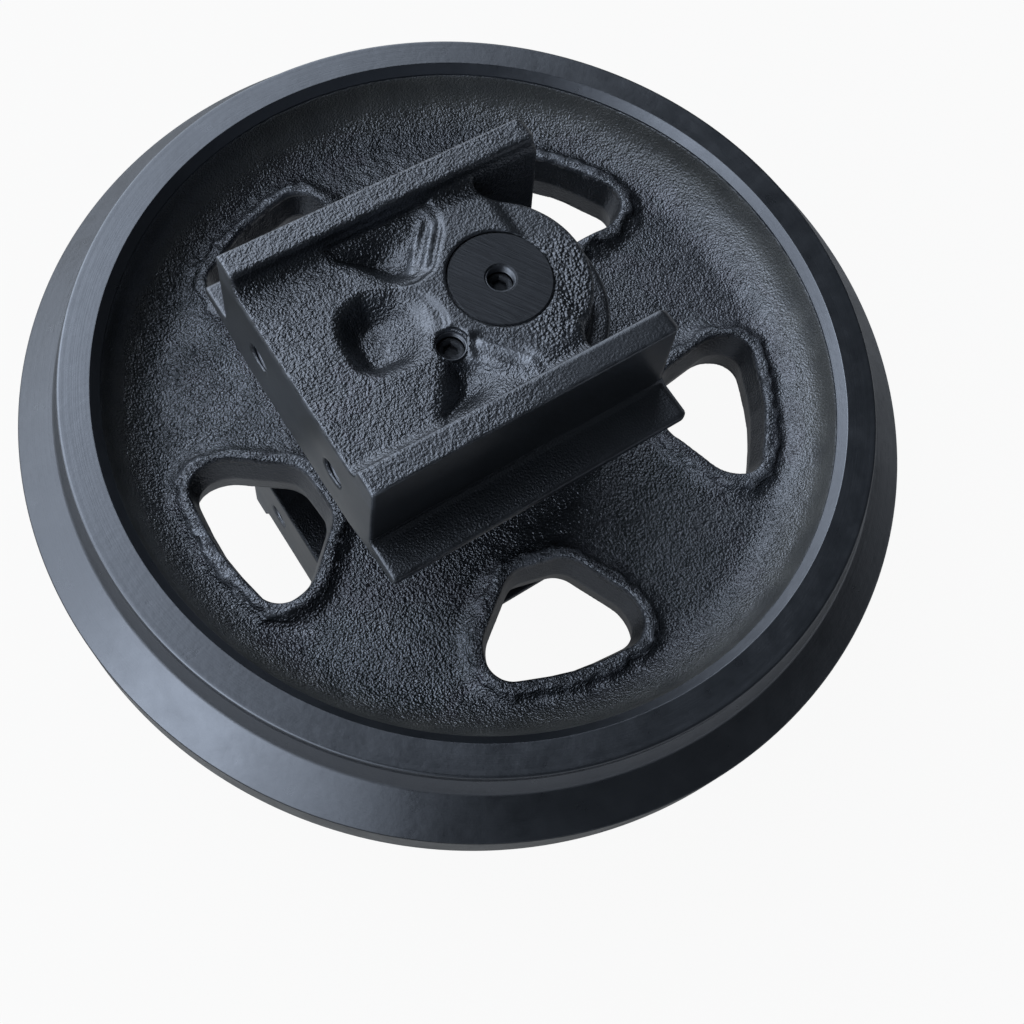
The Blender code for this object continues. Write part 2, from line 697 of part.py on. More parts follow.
def collar():
    profile = [
        (0.0, COLLAR_FACE),
        (COLLAR_RADIUS - COLLAR_EDGE_BREAK, COLLAR_FACE),
        (COLLAR_RADIUS, COLLAR_FACE + COLLAR_EDGE_BREAK),
        (COLLAR_RADIUS, COLLAR_TOP - COLLAR_EDGE_BREAK),
        (COLLAR_RADIUS - 2 * COLLAR_EDGE_BREAK, COLLAR_TOP),
        (0.0, COLLAR_TOP),
    ]
    return object_from(turned(bmesh.new(), profile, COLLAR_SEGMENTS, closed=False), "collar")


def nose():
    """Thrust ring round the shaft, which stands on the bush's flange."""
    profile = [
        (0.0, NOSE_END),
        (BUSH_FLANGE_RADIUS, NOSE_END),
        (BUSH_FLANGE_RADIUS, BRACKET_HOUSING_TOP + CUT_OVERRUN),
        (0.0, BRACKET_HOUSING_TOP + CUT_OVERRUN),
    ]
    return object_from(turned(bmesh.new(), profile, SHAFT_SEGMENTS, closed=False), "thrust_nose")


def guide_bracket(side, parent, material):
    bracket = object_from(channel(), "guide_bracket_" + side, material, parent, SIDES[side])
    boolean(bracket, horn_notch(), "DIFFERENCE")
    boolean(bracket, collar(), "UNION")
    housing = cylinder_tool("seal_housing", SEAL_HOUSING_RADIUS, COLLAR_FACE - CUT_OVERRUN,
                            BRACKET_HOUSING_TOP, "Z", (0, 0, 0), SEAL_SEGMENTS)
    boolean(bracket, housing, "DIFFERENCE")
    boolean(bracket, nose(), "UNION")
    bore = cylinder_tool("shaft_bore", BRACKET_BORE_RADIUS, NOSE_END - CUT_OVERRUN, RAIL_TOP,
                         "Z", (0, 0, 0), SHAFT_SEGMENTS)
    boolean(bracket, bore, "DIFFERENCE")
    for tool in pockets():
        boolean(bracket, tool, "DIFFERENCE")
    for offset in (-YOKE_HOLE_SPACING / 2, YOKE_HOLE_SPACING / 2):
        hole = cylinder_tool("yoke_hole", YOKE_HOLE_RADIUS, END_FACE_REACH - YOKE_HOLE_DEPTH,
                             END_FACE_REACH + CUT_OVERRUN, "X", (0, offset, YOKE_HOLE_LEVEL))
        boolean(bracket, hole, "DIFFERENCE")
    fill_place = (FILL_HOLE_REACH, FILL_HOLE_OFFSET, 0)
    fill_hole = cylinder_tool("fill_hole", FILL_HOLE_RADIUS, WEB_TOP - FILL_HOLE_DEPTH, RAIL_TOP,
                              "Z", fill_place)
    boolean(bracket, fill_hole, "DIFFERENCE")
    passage = cylinder_tool("fill_passage", FILL_PASSAGE_RADIUS, BRACKET_HOUSING_TOP - CUT_OVERRUN,
                            WEB_TOP - FILL_HOLE_DEPTH / 2, "Z", fill_place)
    boolean(bracket, passage, "DIFFERENCE")
    pin_hole = cylinder_tool("lock_hole", LOCK_HOLE_RADIUS, -COLLAR_RADIUS, -SHAFT_RADIUS / 2, "X",
                             (0, 0, LOCK_PIN_LEVEL))
    boolean(bracket, pin_hole, "DIFFERENCE")
    return bracket


def build():
    clear_scene()
    middle = empty("idler_axis", (0, 0, RAIL_TOP))
    turning = empty("wheel_axis", (0, 0, 0))
    turning.parent = middle
    bronze = bush_bronze()
    iron = seal_iron()
    rubber = seal_rubber()
    steel = pin_steel()
    cast = black_cast_paint()
    idler_wheel(turning)
    shaft(middle)
    hub_face = SEAL_PLANE - THRUST_GAP / 2
    bracket_face = SEAL_PLANE + THRUST_GAP / 2
    for side in SIDES:
        bush(side, turning, bronze)
        seal_ring("hub_seal_ring_" + side, side, hub_face, -1, turning, iron)
        seal_toric("hub_seal_toric_" + side, side, hub_face, -1, turning, rubber)
        seal_ring("bracket_seal_ring_" + side, side, bracket_face, 1, middle, iron)
        seal_toric("bracket_seal_toric_" + side, side, bracket_face, 1, middle, rubber)
        guide_bracket(side, middle, cast)
        o_ring(side, middle, rubber)
        lock_pin(side, middle, steel)
        socket_plug("shaft_plug_" + side, END_HOLE_RADIUS - SEAT_GAP, SHAFT_END - PLUG_SINK,
                    (0, 0, 0), side, middle, steel)
        socket_plug("fill_plug_" + side, FILL_HOLE_RADIUS - SEAT_GAP, WEB_TOP - PLUG_SINK,
                    (FILL_HOLE_REACH, FILL_HOLE_OFFSET, 0), side, middle, steel)


build()
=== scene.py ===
"""Looks of the front idler: black paint over rough castings and smooth turned faces.

The castings are drawn as distance fields, so that their corners flow into each other as
they do out of a sand mould, and are then meshed. Turned parts are lathe profiles. Metres.
"""
import math

import bmesh
import bpy
import numpy as np
import openvdb
from mathutils import Matrix, Vector


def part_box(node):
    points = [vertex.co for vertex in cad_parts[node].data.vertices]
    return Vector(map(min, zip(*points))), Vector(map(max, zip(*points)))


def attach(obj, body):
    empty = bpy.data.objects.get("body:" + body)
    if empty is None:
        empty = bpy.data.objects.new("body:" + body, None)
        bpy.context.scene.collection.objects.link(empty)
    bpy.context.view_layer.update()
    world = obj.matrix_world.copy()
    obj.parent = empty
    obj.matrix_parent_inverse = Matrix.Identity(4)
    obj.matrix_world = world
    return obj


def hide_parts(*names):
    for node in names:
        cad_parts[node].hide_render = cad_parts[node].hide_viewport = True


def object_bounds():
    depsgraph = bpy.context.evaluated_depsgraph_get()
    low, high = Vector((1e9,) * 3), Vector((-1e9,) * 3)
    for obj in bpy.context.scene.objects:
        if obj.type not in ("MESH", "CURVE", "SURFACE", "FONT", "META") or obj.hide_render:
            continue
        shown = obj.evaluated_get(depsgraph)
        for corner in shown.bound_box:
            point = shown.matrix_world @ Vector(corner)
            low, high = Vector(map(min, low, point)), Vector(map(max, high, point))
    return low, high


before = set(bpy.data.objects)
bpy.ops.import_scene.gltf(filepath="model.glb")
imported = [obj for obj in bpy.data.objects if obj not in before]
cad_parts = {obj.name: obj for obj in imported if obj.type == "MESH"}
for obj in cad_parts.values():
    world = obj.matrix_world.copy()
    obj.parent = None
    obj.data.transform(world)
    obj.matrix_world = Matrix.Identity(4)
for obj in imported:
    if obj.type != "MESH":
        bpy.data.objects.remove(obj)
cad_low, cad_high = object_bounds()

MM = 0.001

# Levels read from the solids, from the wheel's middle plane outwards
BRACKET_LOW, BRACKET_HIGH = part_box("guide_bracket_upper")
WHEEL_LOW, WHEEL_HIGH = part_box("idler_wheel")
SHAFT_LOW, SHAFT_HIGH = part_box("shaft")
AXIS_HEIGHT = (cad_low.z + cad_high.z) / 2
FLANGE_RADIUS = WHEEL_HIGH.x
HUB_FACE = WHEEL_HIGH.z - AXIS_HEIGHT
RAIL_TOP = BRACKET_HIGH.z - AXIS_HEIGHT
COLLAR_FACE = BRACKET_LOW.z - AXIS_HEIGHT
END_FACE = BRACKET_HIGH.x
HORN_FOOT = BRACKET_LOW.x
LEDGE_OUTER = BRACKET_HIGH.y
SHAFT_END = SHAFT_HIGH.z - AXIS_HEIGHT
SHAFT_RADIUS = SHAFT_HIGH.x

# Wheel
FLANGE_LAND = 13.4 * MM
FLANGE_ROOT_RADIUS = 228.0 * MM
TREAD_RADIUS = 223.5 * MM
TREAD_STEP = 18.5 * MM
TREAD_ROOT = 11.0 * MM
TREAD_ROOT_FILLET = 1.2 * MM
TURNED_EDGE = 1.6 * MM
BORE_EDGE = 0.5 * MM
RIM_FACE = 49.0 * MM
RIM_BORE_RADIUS = 206.5 * MM
RIM_CHAMFER = 4.5 * MM
RIM_WALL_DRAFT = 6.5 * MM
WEB_FACE = 12.5 * MM
DISH_FILLET = 24.0 * MM
HUB_RADIUS = 60.0 * MM
HUB_DRAFT = 5.0 * MM
HUB_FILLET = 20.0 * MM
HUB_EDGE = 1.5 * MM
HUB_BORE_RADIUS = 31.25 * MM
SEAL_HOUSING_RADIUS = 49.0 * MM
SEAL_HOUSING_DEPTH = 12.0 * MM
OIL_CHAMBER_RADIUS = 33.25 * MM
OIL_CHAMBER_HALF = 12.0 * MM

# Windows in the web
WINDOW_COUNT = 5
WINDOW_PHASE = math.radians(3.5)
WINDOW_INNER = 107.0 * MM
WINDOW_OUTER = 170.5 * MM
WINDOW_SHOULDER = 141.0 * MM
WINDOW_HALF_WIDTH = 45.0 * MM
WINDOW_HALF_NECK = 17.0 * MM
WINDOW_CROWN = 6.5 * MM
LIP_LEVEL = 19.0 * MM
WINDOW_DRAFT = 3.5 * MM
LIP_WIDTH = 5.5 * MM
LIP_FLARE = 5.0 * MM
LIP_EDGE = 0.7 * MM
LIP_FOOT_FILLET = 5.0 * MM
WINDOW_EDGE = 1.4 * MM

# Unevenness of the lips: length of a wave or nick, what it adds to the height and to the width
LIP_WAVE = (13.0 * MM, 0.7 * MM, 1.2 * MM)
LIP_NICK = (5.0 * MM, 0.35 * MM, 1.5 * MM)

# Rough patches of the casting's skin as (x, y, reach)
SCABS = ((-37 * MM, -161 * MM, 24 * MM), (41 * MM, -162 * MM, 16 * MM))

# Guide bracket
BASE_FACE = 74.0 * MM
BASE_HALF = 50.0 * MM
LEDGE_UNDERSIDE = 84.0 * MM
LEDGE_TOP = 90.0 * MM
WEB_TOP = 137.0 * MM
RAIL_OUTER = 69.5 * MM
RAIL_INNER = 55.5 * MM
RAIL_DRAFT = 1.0 * MM
HORN_SLOPE = 8.0 / 74.5
NOTCH_START = 18.0 * MM
NOTCH_CORNER = 7.5 * MM
BOSS_RADIUS = 46.0 * MM
BOSS_DRAFT = 5.0 * MM
COLLAR_RADIUS = 59.5 * MM
COLLAR_TOP = 111.0 * MM
COLLAR_FOOT = COLLAR_FACE + 10.0 * MM
COLLAR_FILLET = 3.0 * MM
HORN_EDGE = 5.5 * MM
NOTCH_EDGE = 1.8 * MM
BOSS_EDGE = 2.6 * MM
END_EDGE = 1.1 * MM
POCKET_EDGE = 1.5 * MM
NOSE_RADIUS = 38.0 * MM
NOSE_FACE = 54.6 * MM
WELL_DEPTH = 14.0 * MM
SIDE_POCKET_DEPTH = 12.0 * MM
POCKET_SURROUND = 6.0 * MM
WELL_RAMP_TOP = (42.0 * MM, 6.0 * MM)
WELL_RAMP_RUN = 27.0 * MM
WELL_RAMP_TURN = math.radians(-24)
POCKET_INNER_RIDGE = ((17.0 * MM, 46.5 * MM), (34.0 * MM, 27.0 * MM))
POCKET_OUTER_RIDGE = ((11.0 * MM, 43.5 * MM), (27.0 * MM, 25.0 * MM))
POCKET_KNOB = (12.5 * MM, 48.5 * MM)
INNER_RIDGE_HEIGHT = 1.8 * MM
OUTER_RIDGE_HEIGHT = 1.6 * MM
RIDGE_WIDTH = 2.0 * MM
KNOB_HEIGHT = 2.8 * MM
KNOB_RADIUS = 4.0 * MM
# Width of the lighter band along the pocket ridges: scuffed paint and a painted highlight
RUBBED_AND_HIGHLIT_WIDTH = 2.4 * MM
YOKE_HOLE_SPACING = 70.0 * MM
YOKE_HOLE_LEVEL = 105.0 * MM
YOKE_HOLE_DEPTH = 32.0 * MM
YOKE_HOLE_RADIUS = 7.6 * MM
FILL_HOLE = (39.5 * MM, 18.0 * MM)
FILL_HOLE_RADIUS = 7.5 * MM
FILL_HOLE_DEPTH = 20.0 * MM
LOCK_HOLE_RADIUS = 6.3 * MM
LOCK_HOLE_LEVEL = 120.5 * MM
END_HOLE_RADIUS = 7.2 * MM
END_HOLE_DEPTH = 14.0 * MM
PLUG_SINK = 6.0 * MM

# Lumps of the cast skin: length and height
SMALL_LUMP = (5.5 * MM, 0.10 * MM)
LARGE_LUMP = (17.0 * MM, 0.26 * MM)
SCAB_LUMP = (4.5 * MM, 0.90 * MM)

# Meshing and paint
WHEEL_VOXEL = 1.3 * MM
BRACKET_VOXEL = 0.85 * MM
TURNED_SEGMENTS = 256
PAINT_GLOSS = 0.8
CAST_GLOSS = 0.68
# Weaker reflection on the flange land: duller paint, and painted shade for the shadowed floor that it
# reflects
LAND_DULL_AND_SHADED_GLOSS = 0.25
SHAFT_GLOSS = 0.24
PAINT_INDEX = 1.7
# Bluish tint on the reflections of every paint, a painted colour of bluish light
PAINTED_BLUISH_LIGHT_TINT = (0.79, 0.855, 1.0, 1)
DARK_PAINT = (0.0060, 0.0070, 0.0085, 1)
LIGHT_PAINT = (0.0090, 0.0105, 0.0125, 1)
# Paler paint colour: painted bounce light on the rim's inner wall and the dish beside it, and a paler tone on
# the bracket end face
DUST_AND_BOUNCE_COLOUR = (0.053, 0.055, 0.054, 1)
# Lighter colour of bare, scuffed paint; on the bracket's end-face edge and pocket ridges it also paints a
# highlight
WORN_AND_HIGHLIGHT_COLOUR = (0.100, 0.110, 0.130, 1)

# Light: azimuth, elevation, angle to its edge, angle where it is full (degrees), strength
WIDE_GLOW = (-55, 8, 77, 66, 2.2)
CORE_GLOW = (16, 20, 37, 10, 2.2)
SPARK_GLOW = (-70, 42, 23, 8, 3.0)
ROOM_LEVEL = 0.04
ROOM_COLOUR = (0.88, 0.94, 1.0, 1)

# Share of plain white in the floor, as the camera and as reflections see it
FLOOR_WHITE = 0.935
FLOOR_GLEAM = 0.12


def polygon_distance(px, py, outline):
    """Signed distance from points to a closed outline, negative inside it."""
    nearest = np.full(px.shape, 1e9)
    inside = np.zeros(px.shape, bool)
    for (ax, ay), (bx, by) in zip(outline, outline[1:] + outline[:1]):
        ex, ey = bx - ax, by - ay
        along = np.clip(((px - ax) * ex + (py - ay) * ey) / (ex * ex + ey * ey), 0.0, 1.0)
        nearest = np.minimum(nearest, np.hypot(px - ax - ex * along, py - ay - ey * along))
        crosses = (ay > py) != (by > py)
        slope = ex / ey if ey else 0.0
        inside ^= crosses & (px < ax + (py - ay) * slope)
    return np.where(inside, -nearest, nearest).astype(np.float32)


def rounded_outline(corners, radii, step=math.radians(9)):
    """Round each corner of an outline to its own radius."""
    points = []
    for index, (x, y) in enumerate(corners):
        before = corners[index - 1]
        after = corners[(index + 1) % len(corners)]
        radius = radii[index]
        if radius == 0:
            points.append((x, y))
            continue
        to_before = math.atan2(before[1] - y, before[0] - x)
        to_after = math.atan2(after[1] - y, after[0] - x)
        turn = (to_after - to_before + math.pi) % math.tau - math.pi
        half = abs(turn) / 2
        bisector = to_before + turn / 2
        reach = radius / math.sin(half)
        middle = (x + reach * math.cos(bisector), y + reach * math.sin(bisector))
        sweep = (math.pi - 2 * half) * (1 if turn > 0 else -1)
        first = bisector + math.pi + sweep / 2
        steps = max(2, math.ceil(abs(sweep) / step))
        for number in range(steps + 1):
            angle = first - sweep * number / steps
            points.append((middle[0] + radius * math.cos(angle), middle[1] + radius * math.sin(angle)))
    return points


def join(first, second, radius):
    """Union of two fields, the inside corner between them filled to a radius."""
    hollow = np.hypot(np.maximum(radius - first, 0), np.maximum(radius - second, 0))
    return np.maximum(radius, np.minimum(first, second)) - hollow


def keep(first, second, radius):
    """Intersection of two fields, the outside corner between them rounded."""
    proud = np.hypot(np.maximum(radius + first, 0), np.maximum(radius + second, 0))
    return np.minimum(-radius, np.maximum(first, second)) + proud


def cut(body, tool, radius):
    return keep(body, -tool, radius)


def grid_axes(low, high, voxel):
    """Broadcastable X, Y and Z of a grid of points, and its lowest corner."""
    axes = [np.arange(math.floor(a / voxel), math.ceil(b / voxel) + 1) * voxel for a, b in zip(low, high)]
    x, y, z = (axis.astype(np.float32) for axis in axes)
    return x[:, None, None], y[None, :, None], z[None, None, :], Vector((axes[0][0], axes[1][0], axes[2][0]))


def mesh_of_field(name, field, corner, voxel):
    """Skin the zero level of a distance field."""
    grid = openvdb.FloatGrid(1.0)
    grid.copyFromArray(np.ascontiguousarray(field, dtype=np.float32))
    points, _, quads = grid.convertToPolygons(isovalue=0.0, adaptivity=0.0)
    points = points * voxel + np.array(corner)
    mesh = bpy.data.meshes.new(name)
    mesh.from_pydata(points, [], quads)
    mesh.shade_smooth()
    return mesh


def coordinates(mesh):
    values = np.empty(len(mesh.vertices) * 3, np.float32)
    mesh.vertices.foreach_get("co", values)
    return values.reshape(-1, 3)


def normals(mesh):
    values = np.empty(len(mesh.vertices) * 3, np.float32)
    mesh.vertices.foreach_get("normal", values)
    return values.reshape(-1, 3)


def lattice_noise(points, cell, seed):
    """Smooth noise from -1 to 1 with lumps about two cells wide."""
    size = 64
    lattice = np.random.default_rng(seed).uniform(-1, 1, (size, size, size)).astype(np.float32)
    place = points / cell
    base = np.floor(place).astype(int)
    part = place - base
    part = part * part * (3 - 2 * part)
    total = np.zeros(len(points), np.float32)
    for dx in (0, 1):
        for dy in (0, 1):
            for dz in (0, 1):
                share = np.abs((1 - dx, 1 - dy, 1 - dz) - part).prod(1)
                corner = (base + (dx, dy, dz)) % size
                total += share * lattice[corner[:, 0], corner[:, 1], corner[:, 2]]
    return total


def set_attribute(mesh, name, values):
    layer = mesh.attributes.new(name, "FLOAT", "POINT")
    layer.data.foreach_set("value", values.astype(np.float32))


def convexity(mesh, points, facing):
    """How far each vertex stands proud of its neighbours, in metres."""
    edges = np.empty(len(mesh.edges) * 2, np.int32)
    mesh.edges.foreach_get("vertices", edges)
    edges = edges.reshape(-1, 2)
    total = np.zeros_like(points)
    count = np.zeros(len(points))
    for one, other in ((0, 1), (1, 0)):
        np.add.at(total, edges[:, one], points[edges[:, other]])
        np.add.at(count, edges[:, one], 1)
    middle = total / count[:, None]
    return ((points - middle) * facing).sum(1)


def roughen(mesh, smooth_share, seed, scabs=0.0):
    """Push the cast skin in and out, except where smooth_share is 1, and more so where scabs is 1."""
    points = coordinates(mesh)
    facing = normals(mesh)
    rough = 1 - smooth_share
    lumps = SMALL_LUMP[1] * lattice_noise(points, SMALL_LUMP[0], seed)
    lumps += LARGE_LUMP[1] * lattice_noise(points, LARGE_LUMP[0], seed + 1)
    lumps += SCAB_LUMP[1] * scabs * lattice_noise(points, SCAB_LUMP[0], seed + 2)
    moved = points + facing * (lumps * rough)[:, None]
    mesh.vertices.foreach_set("co", moved.astype(np.float32).ravel())
    mesh.update()


def object_of(name, mesh, material, body, nodes=()):
    piece = bpy.data.objects.new(name, mesh)
    bpy.context.scene.collection.objects.link(piece)
    mesh.materials.clear()
    mesh.materials.append(material)
    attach(piece, body)
    if nodes:
        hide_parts(*nodes)
    return piece


def lathe_mesh(name, profile, segments, closed=True):
    """Spin (radius, level) points round Z. A closed profile makes a ring, an open one a solid bar."""
    bm = bmesh.new()
    verts = [bm.verts.new((radius, 0, level)) for radius, level in profile]
    pairs = list(zip(verts, verts[1:]))
    if closed:
        pairs.append((verts[-1], verts[0]))
    edges = [bm.edges.new(pair) for pair in pairs]
    bmesh.ops.spin(bm, geom=verts + edges, cent=(0, 0, 0), axis=(0, 0, 1), angle=math.tau,
                   steps=segments, use_merge=True)
    bmesh.ops.remove_doubles(bm, verts=bm.verts, dist=0.00001)
    bmesh.ops.recalc_face_normals(bm, faces=bm.faces)
    mesh = bpy.data.meshes.new(name)
    bm.to_mesh(mesh)
    bm.free()
    mesh.shade_smooth()
    mesh.set_sharp_from_angle(angle=math.radians(28))
    return mesh


def mirrored(half):
    return half + [(radius, -level) for radius, level in reversed(half)]


def braced(profile, offset=0.3 * MM):
    """Add a point close to each end of every long run, so that flat faces shade flat."""
    points = []
    for here, after in zip(profile, profile[1:] + profile[:1]):
        points.append(here)
        length = math.dist(here, after)
        if length > 6 * offset:
            for along in (offset / length, 1 - offset / length):
                points.append(tuple(a + (b - a) * along for a, b in zip(here, after)))
    return points


def arc(centre, radius, start, end, steps):
    angles = [math.radians(start + (end - start) * step / steps) for step in range(steps + 1)]
    return [(centre[0] + radius * math.cos(a), centre[1] + radius * math.sin(a)) for a in angles]


def window_outline():
    corners = [
        (WINDOW_INNER, -WINDOW_HALF_NECK),
        (WINDOW_SHOULDER, -WINDOW_HALF_WIDTH),
        (WINDOW_OUTER - WINDOW_CROWN, -WINDOW_HALF_WIDTH),
        (WINDOW_OUTER, 0.0),
        (WINDOW_OUTER - WINDOW_CROWN, WINDOW_HALF_WIDTH),
        (WINDOW_SHOULDER, WINDOW_HALF_WIDTH),
        (WINDOW_INNER, WINDOW_HALF_NECK),
    ]
    half = [18 * MM, 24 * MM, 15 * MM]
    return rounded_outline(corners, half + [100 * MM] + half[::-1])


def window_distance(x, y):
    """Distance to the nearest window's edge in the plane of the web."""
    radius = np.hypot(x, y)
    angle = np.arctan2(y, x) - WINDOW_PHASE
    pitch = math.tau / WINDOW_COUNT
    angle = angle - np.round(angle / pitch) * pitch
    return polygon_distance(radius * np.cos(angle), radius * np.sin(angle), window_outline())


def wheel_field(x, y, z):
    radius = np.hypot(x, y)
    level = np.abs(z)
    web = level - WEB_FACE
    rise = (level - WEB_FACE) / (RIM_FACE - RIM_CHAMFER - WEB_FACE)
    wall = RIM_BORE_RADIUS - RIM_CHAMFER - RIM_WALL_DRAFT * (1 - rise)
    body = join(web + 0 * radius, wall - radius, DISH_FILLET)
    hub_rise = (level - WEB_FACE) / (HUB_FACE - WEB_FACE)
    hub = keep(radius - HUB_RADIUS - HUB_DRAFT * (1 - hub_rise), level - HUB_FACE, HUB_EDGE)
    body = join(body, hub, HUB_FILLET)
    rim_top = RIM_FACE - RIM_CHAMFER - 0.3 * MM
    ring_limit = np.where(radius > 2 * HUB_RADIUS, level - rim_top, level - HUB_FACE)
    body = np.maximum(body, ring_limit)
    body = np.maximum(body, radius - (TREAD_RADIUS - 8 * MM))
    window = window_distance(x[:, :, 0], y[:, :, 0])[:, :, None]
    flat = np.stack(np.broadcast_arrays(x[:, :, 0], y[:, :, 0], 0 * radius[:, :, 0]), -1).reshape(-1, 3)
    wave = lattice_noise(flat, LIP_WAVE[0], 5).reshape(radius.shape)
    nick = lattice_noise(flat, LIP_NICK[0], 6).reshape(radius.shape)
    crest = LIP_LEVEL + LIP_WAVE[1] * wave + LIP_NICK[1] * nick
    foot = LIP_FLARE * np.clip((LIP_LEVEL - level) / (LIP_LEVEL - WEB_FACE), 0, 1)
    side = window - LIP_WIDTH - foot + LIP_WAVE[2] * wave + LIP_NICK[2] * nick
    lip = keep(side, level - crest, LIP_EDGE)
    body = join(body, lip, LIP_FOOT_FILLET)
    opening = window + WINDOW_DRAFT * np.clip(1 - level / LIP_LEVEL, 0, 1)
    body = cut(body, opening, WINDOW_EDGE)
    body = np.maximum(body, HUB_BORE_RADIUS - radius)
    housing = np.maximum(radius - SEAL_HOUSING_RADIUS, HUB_FACE - SEAL_HOUSING_DEPTH - level)
    chamber = np.maximum(radius - OIL_CHAMBER_RADIUS, level - OIL_CHAMBER_HALF)
    return np.maximum(body, np.maximum(-housing, -chamber))


def wheel_casting(material):
    """Hub, web, window lips and the inside of the rim, with the finish of each place and painted bounce light
    on the rim's inner wall.
    """
    reach = TREAD_RADIUS - 6 * MM
    x, y, z, corner = grid_axes((-reach, -reach, -HUB_FACE - 3 * MM), (reach, reach, HUB_FACE + 3 * MM),
                                WHEEL_VOXEL)
    mesh = mesh_of_field("wheel_casting", wheel_field(x, y, z), corner, WHEEL_VOXEL)
    points = coordinates(mesh)
    radius = np.hypot(points[:, 0], points[:, 1])
    level = np.abs(points[:, 2])
    window = window_distance(points[:, 0], points[:, 1])
    wall = smooth_step(radius, 188 * MM, 199 * MM)
    inside_window = np.clip((0.8 * MM - window) / (0.8 * MM), 0, 1)
    hub = (radius < HUB_RADIUS + 1 * MM) * 1.0
    calm = 0.30 * smooth_step(points[:, 1] * 0.55 - points[:, 0] * 0.83, -40 * MM, 90 * MM)
    smooth_share = np.max([0.7 * wall, 0.75 * inside_window, hub, calm], axis=0)
    scabs = 0
    for scab_x, scab_y, scab_reach in SCABS:
        scabs = scabs + np.exp(-np.hypot(points[:, 0] - scab_x, points[:, 1] - scab_y)**2 / scab_reach**2)
    roughen(mesh, smooth_share, 21, scabs * (points[:, 2] > 0))
    facing = normals(mesh)
    points = coordinates(mesh)
    proud = convexity(mesh, points, facing)
    crest = np.clip(2 - np.abs(window - 4 * MM) / (3.5 * MM), 0, 1) * (level > LIP_LEVEL - 3 * MM)
    patchy = np.clip(lattice_noise(points, 26 * MM, 31) * 1.6 + 0.25, 0, 1)
    smooth_share = np.maximum(smooth_share, 0.6 * crest * patchy)
    set_attribute(mesh, "smooth_share", smooth_share)
    # On the wheel the lighter colour is only scuffed edges and lip crests
    set_attribute(mesh, "wear_and_highlights", np.clip(proud / (0.10 * MM), 0, 1) * 0.3 + 0.55 * crest * patchy)
    set_attribute(mesh, "crest", crest)
    # Painted bounce light: the rim's inner wall and the dish beside it are painted paler, standing in for
    # light bounced onto them from the floor and the dish
    set_attribute(mesh, "dust_and_bounce_light", smooth_step(radius, 178 * MM, 199 * MM))
    points[:, 2] += AXIS_HEIGHT
    mesh.vertices.foreach_set("co", points.ravel())
    return object_of("wheel_casting", mesh, material, "wheel", ["idler_wheel"])


def wheel_rim(material, land_dull_and_shaded_material):
    """Turned rim: flange, tread steps, end faces and the chamfers inside them."""
    edge = TURNED_EDGE
    bore_edge = RIM_BORE_RADIUS - RIM_CHAMFER
    bore_level = RIM_FACE - RIM_CHAMFER
    step = RIM_FACE - TREAD_STEP
    half = [
        (bore_edge + 4 * MM, bore_level - 6 * MM),
        (bore_edge - 0.1 * MM, bore_level - 1.6 * MM),
        (bore_edge, bore_level),
    ]
    half += arc((RIM_BORE_RADIUS + 0.2 * MM, RIM_FACE - BORE_EDGE), BORE_EDGE, 135, 90, 3)
    half += arc((TREAD_RADIUS - edge, RIM_FACE - edge), edge, 90, 0, 6)
    half += [
        (TREAD_RADIUS, step + TREAD_ROOT),
        (FLANGE_ROOT_RADIUS - 0.3 * MM, step + TREAD_ROOT_FILLET),
        (FLANGE_ROOT_RADIUS + 0.1 * MM, step + 0.3 * MM),
        (FLANGE_ROOT_RADIUS + 1.2 * MM, step - 0.8 * MM),
    ]
    half += arc((FLANGE_RADIUS - edge, FLANGE_LAND - 0.2 * MM), edge, 52, 0, 4)
    mesh = lathe_mesh("wheel_rim", braced(mirrored(half)), TURNED_SEGMENTS)
    points = coordinates(mesh)
    points[:, 2] += AXIS_HEIGHT
    mesh.vertices.foreach_set("co", points.ravel())
    piece = object_of("wheel_rim", mesh, material, "wheel", ["idler_wheel"])
    # The flange land takes a copy of the paint that reflects less: duller paint, and painted shade of the
    # floor it reflects
    mesh.materials.append(land_dull_and_shaded_material)
    for face in mesh.polygons:
        at_land = math.hypot(face.center.x, face.center.y) > FLANGE_RADIUS - 2 * MM
        if at_land and abs(face.normal.z) < 0.6:
            face.material_index = 1
    return piece


def channel_outline():
    """Half of the bracket's cross-section as (distance from the middle, level)."""
    rail_foot = RAIL_INNER - RAIL_DRAFT
    corners = [
        (-40 * MM, BASE_FACE),
        (BASE_HALF, BASE_FACE),
        (LEDGE_OUTER, LEDGE_UNDERSIDE),
        (LEDGE_OUTER, LEDGE_TOP),
        (RAIL_OUTER, LEDGE_TOP),
        (RAIL_OUTER, RAIL_TOP),
        (RAIL_INNER, RAIL_TOP),
        (rail_foot, WEB_TOP),
        (-40 * MM, WEB_TOP),
    ]
    return rounded_outline(corners, [0, 6 * MM, 1.5 * MM, 2 * MM, 3.5 * MM, 0.9 * MM, 2.4 * MM, 8.0 * MM, 0])


def well_outline():
    """Round pocket between the boss and the end face."""
    corners = [(83, -11), (84, 8), (77, 15), (58, 18), (46, 14)]
    corners += [(36.5, 5), (38, -8), (47, -18.5), (63, -25), (77, -21)]
    return rounded_outline([(x * MM, y * MM) for x, y in corners], [7 * MM] * len(corners))


def side_pocket_outline():
    """Three-cornered pocket beside the boss, on the +Y side."""
    corners = [(63, 52), (65, 47), (57, 37.5), (47, 22.5), (36, 20.5), (27, 22.5), (13, 38), (7, 53)]
    radii = [3, 4, 9, 8, 7, 8, 8, 4]
    return rounded_outline([(x * MM, y * MM) for x, y in corners], [radius * MM for radius in radii])


def smooth_step(value, low, high):
    share = np.clip((value - low) / (high - low), 0, 1)
    return share * share * (3 - 2 * share)


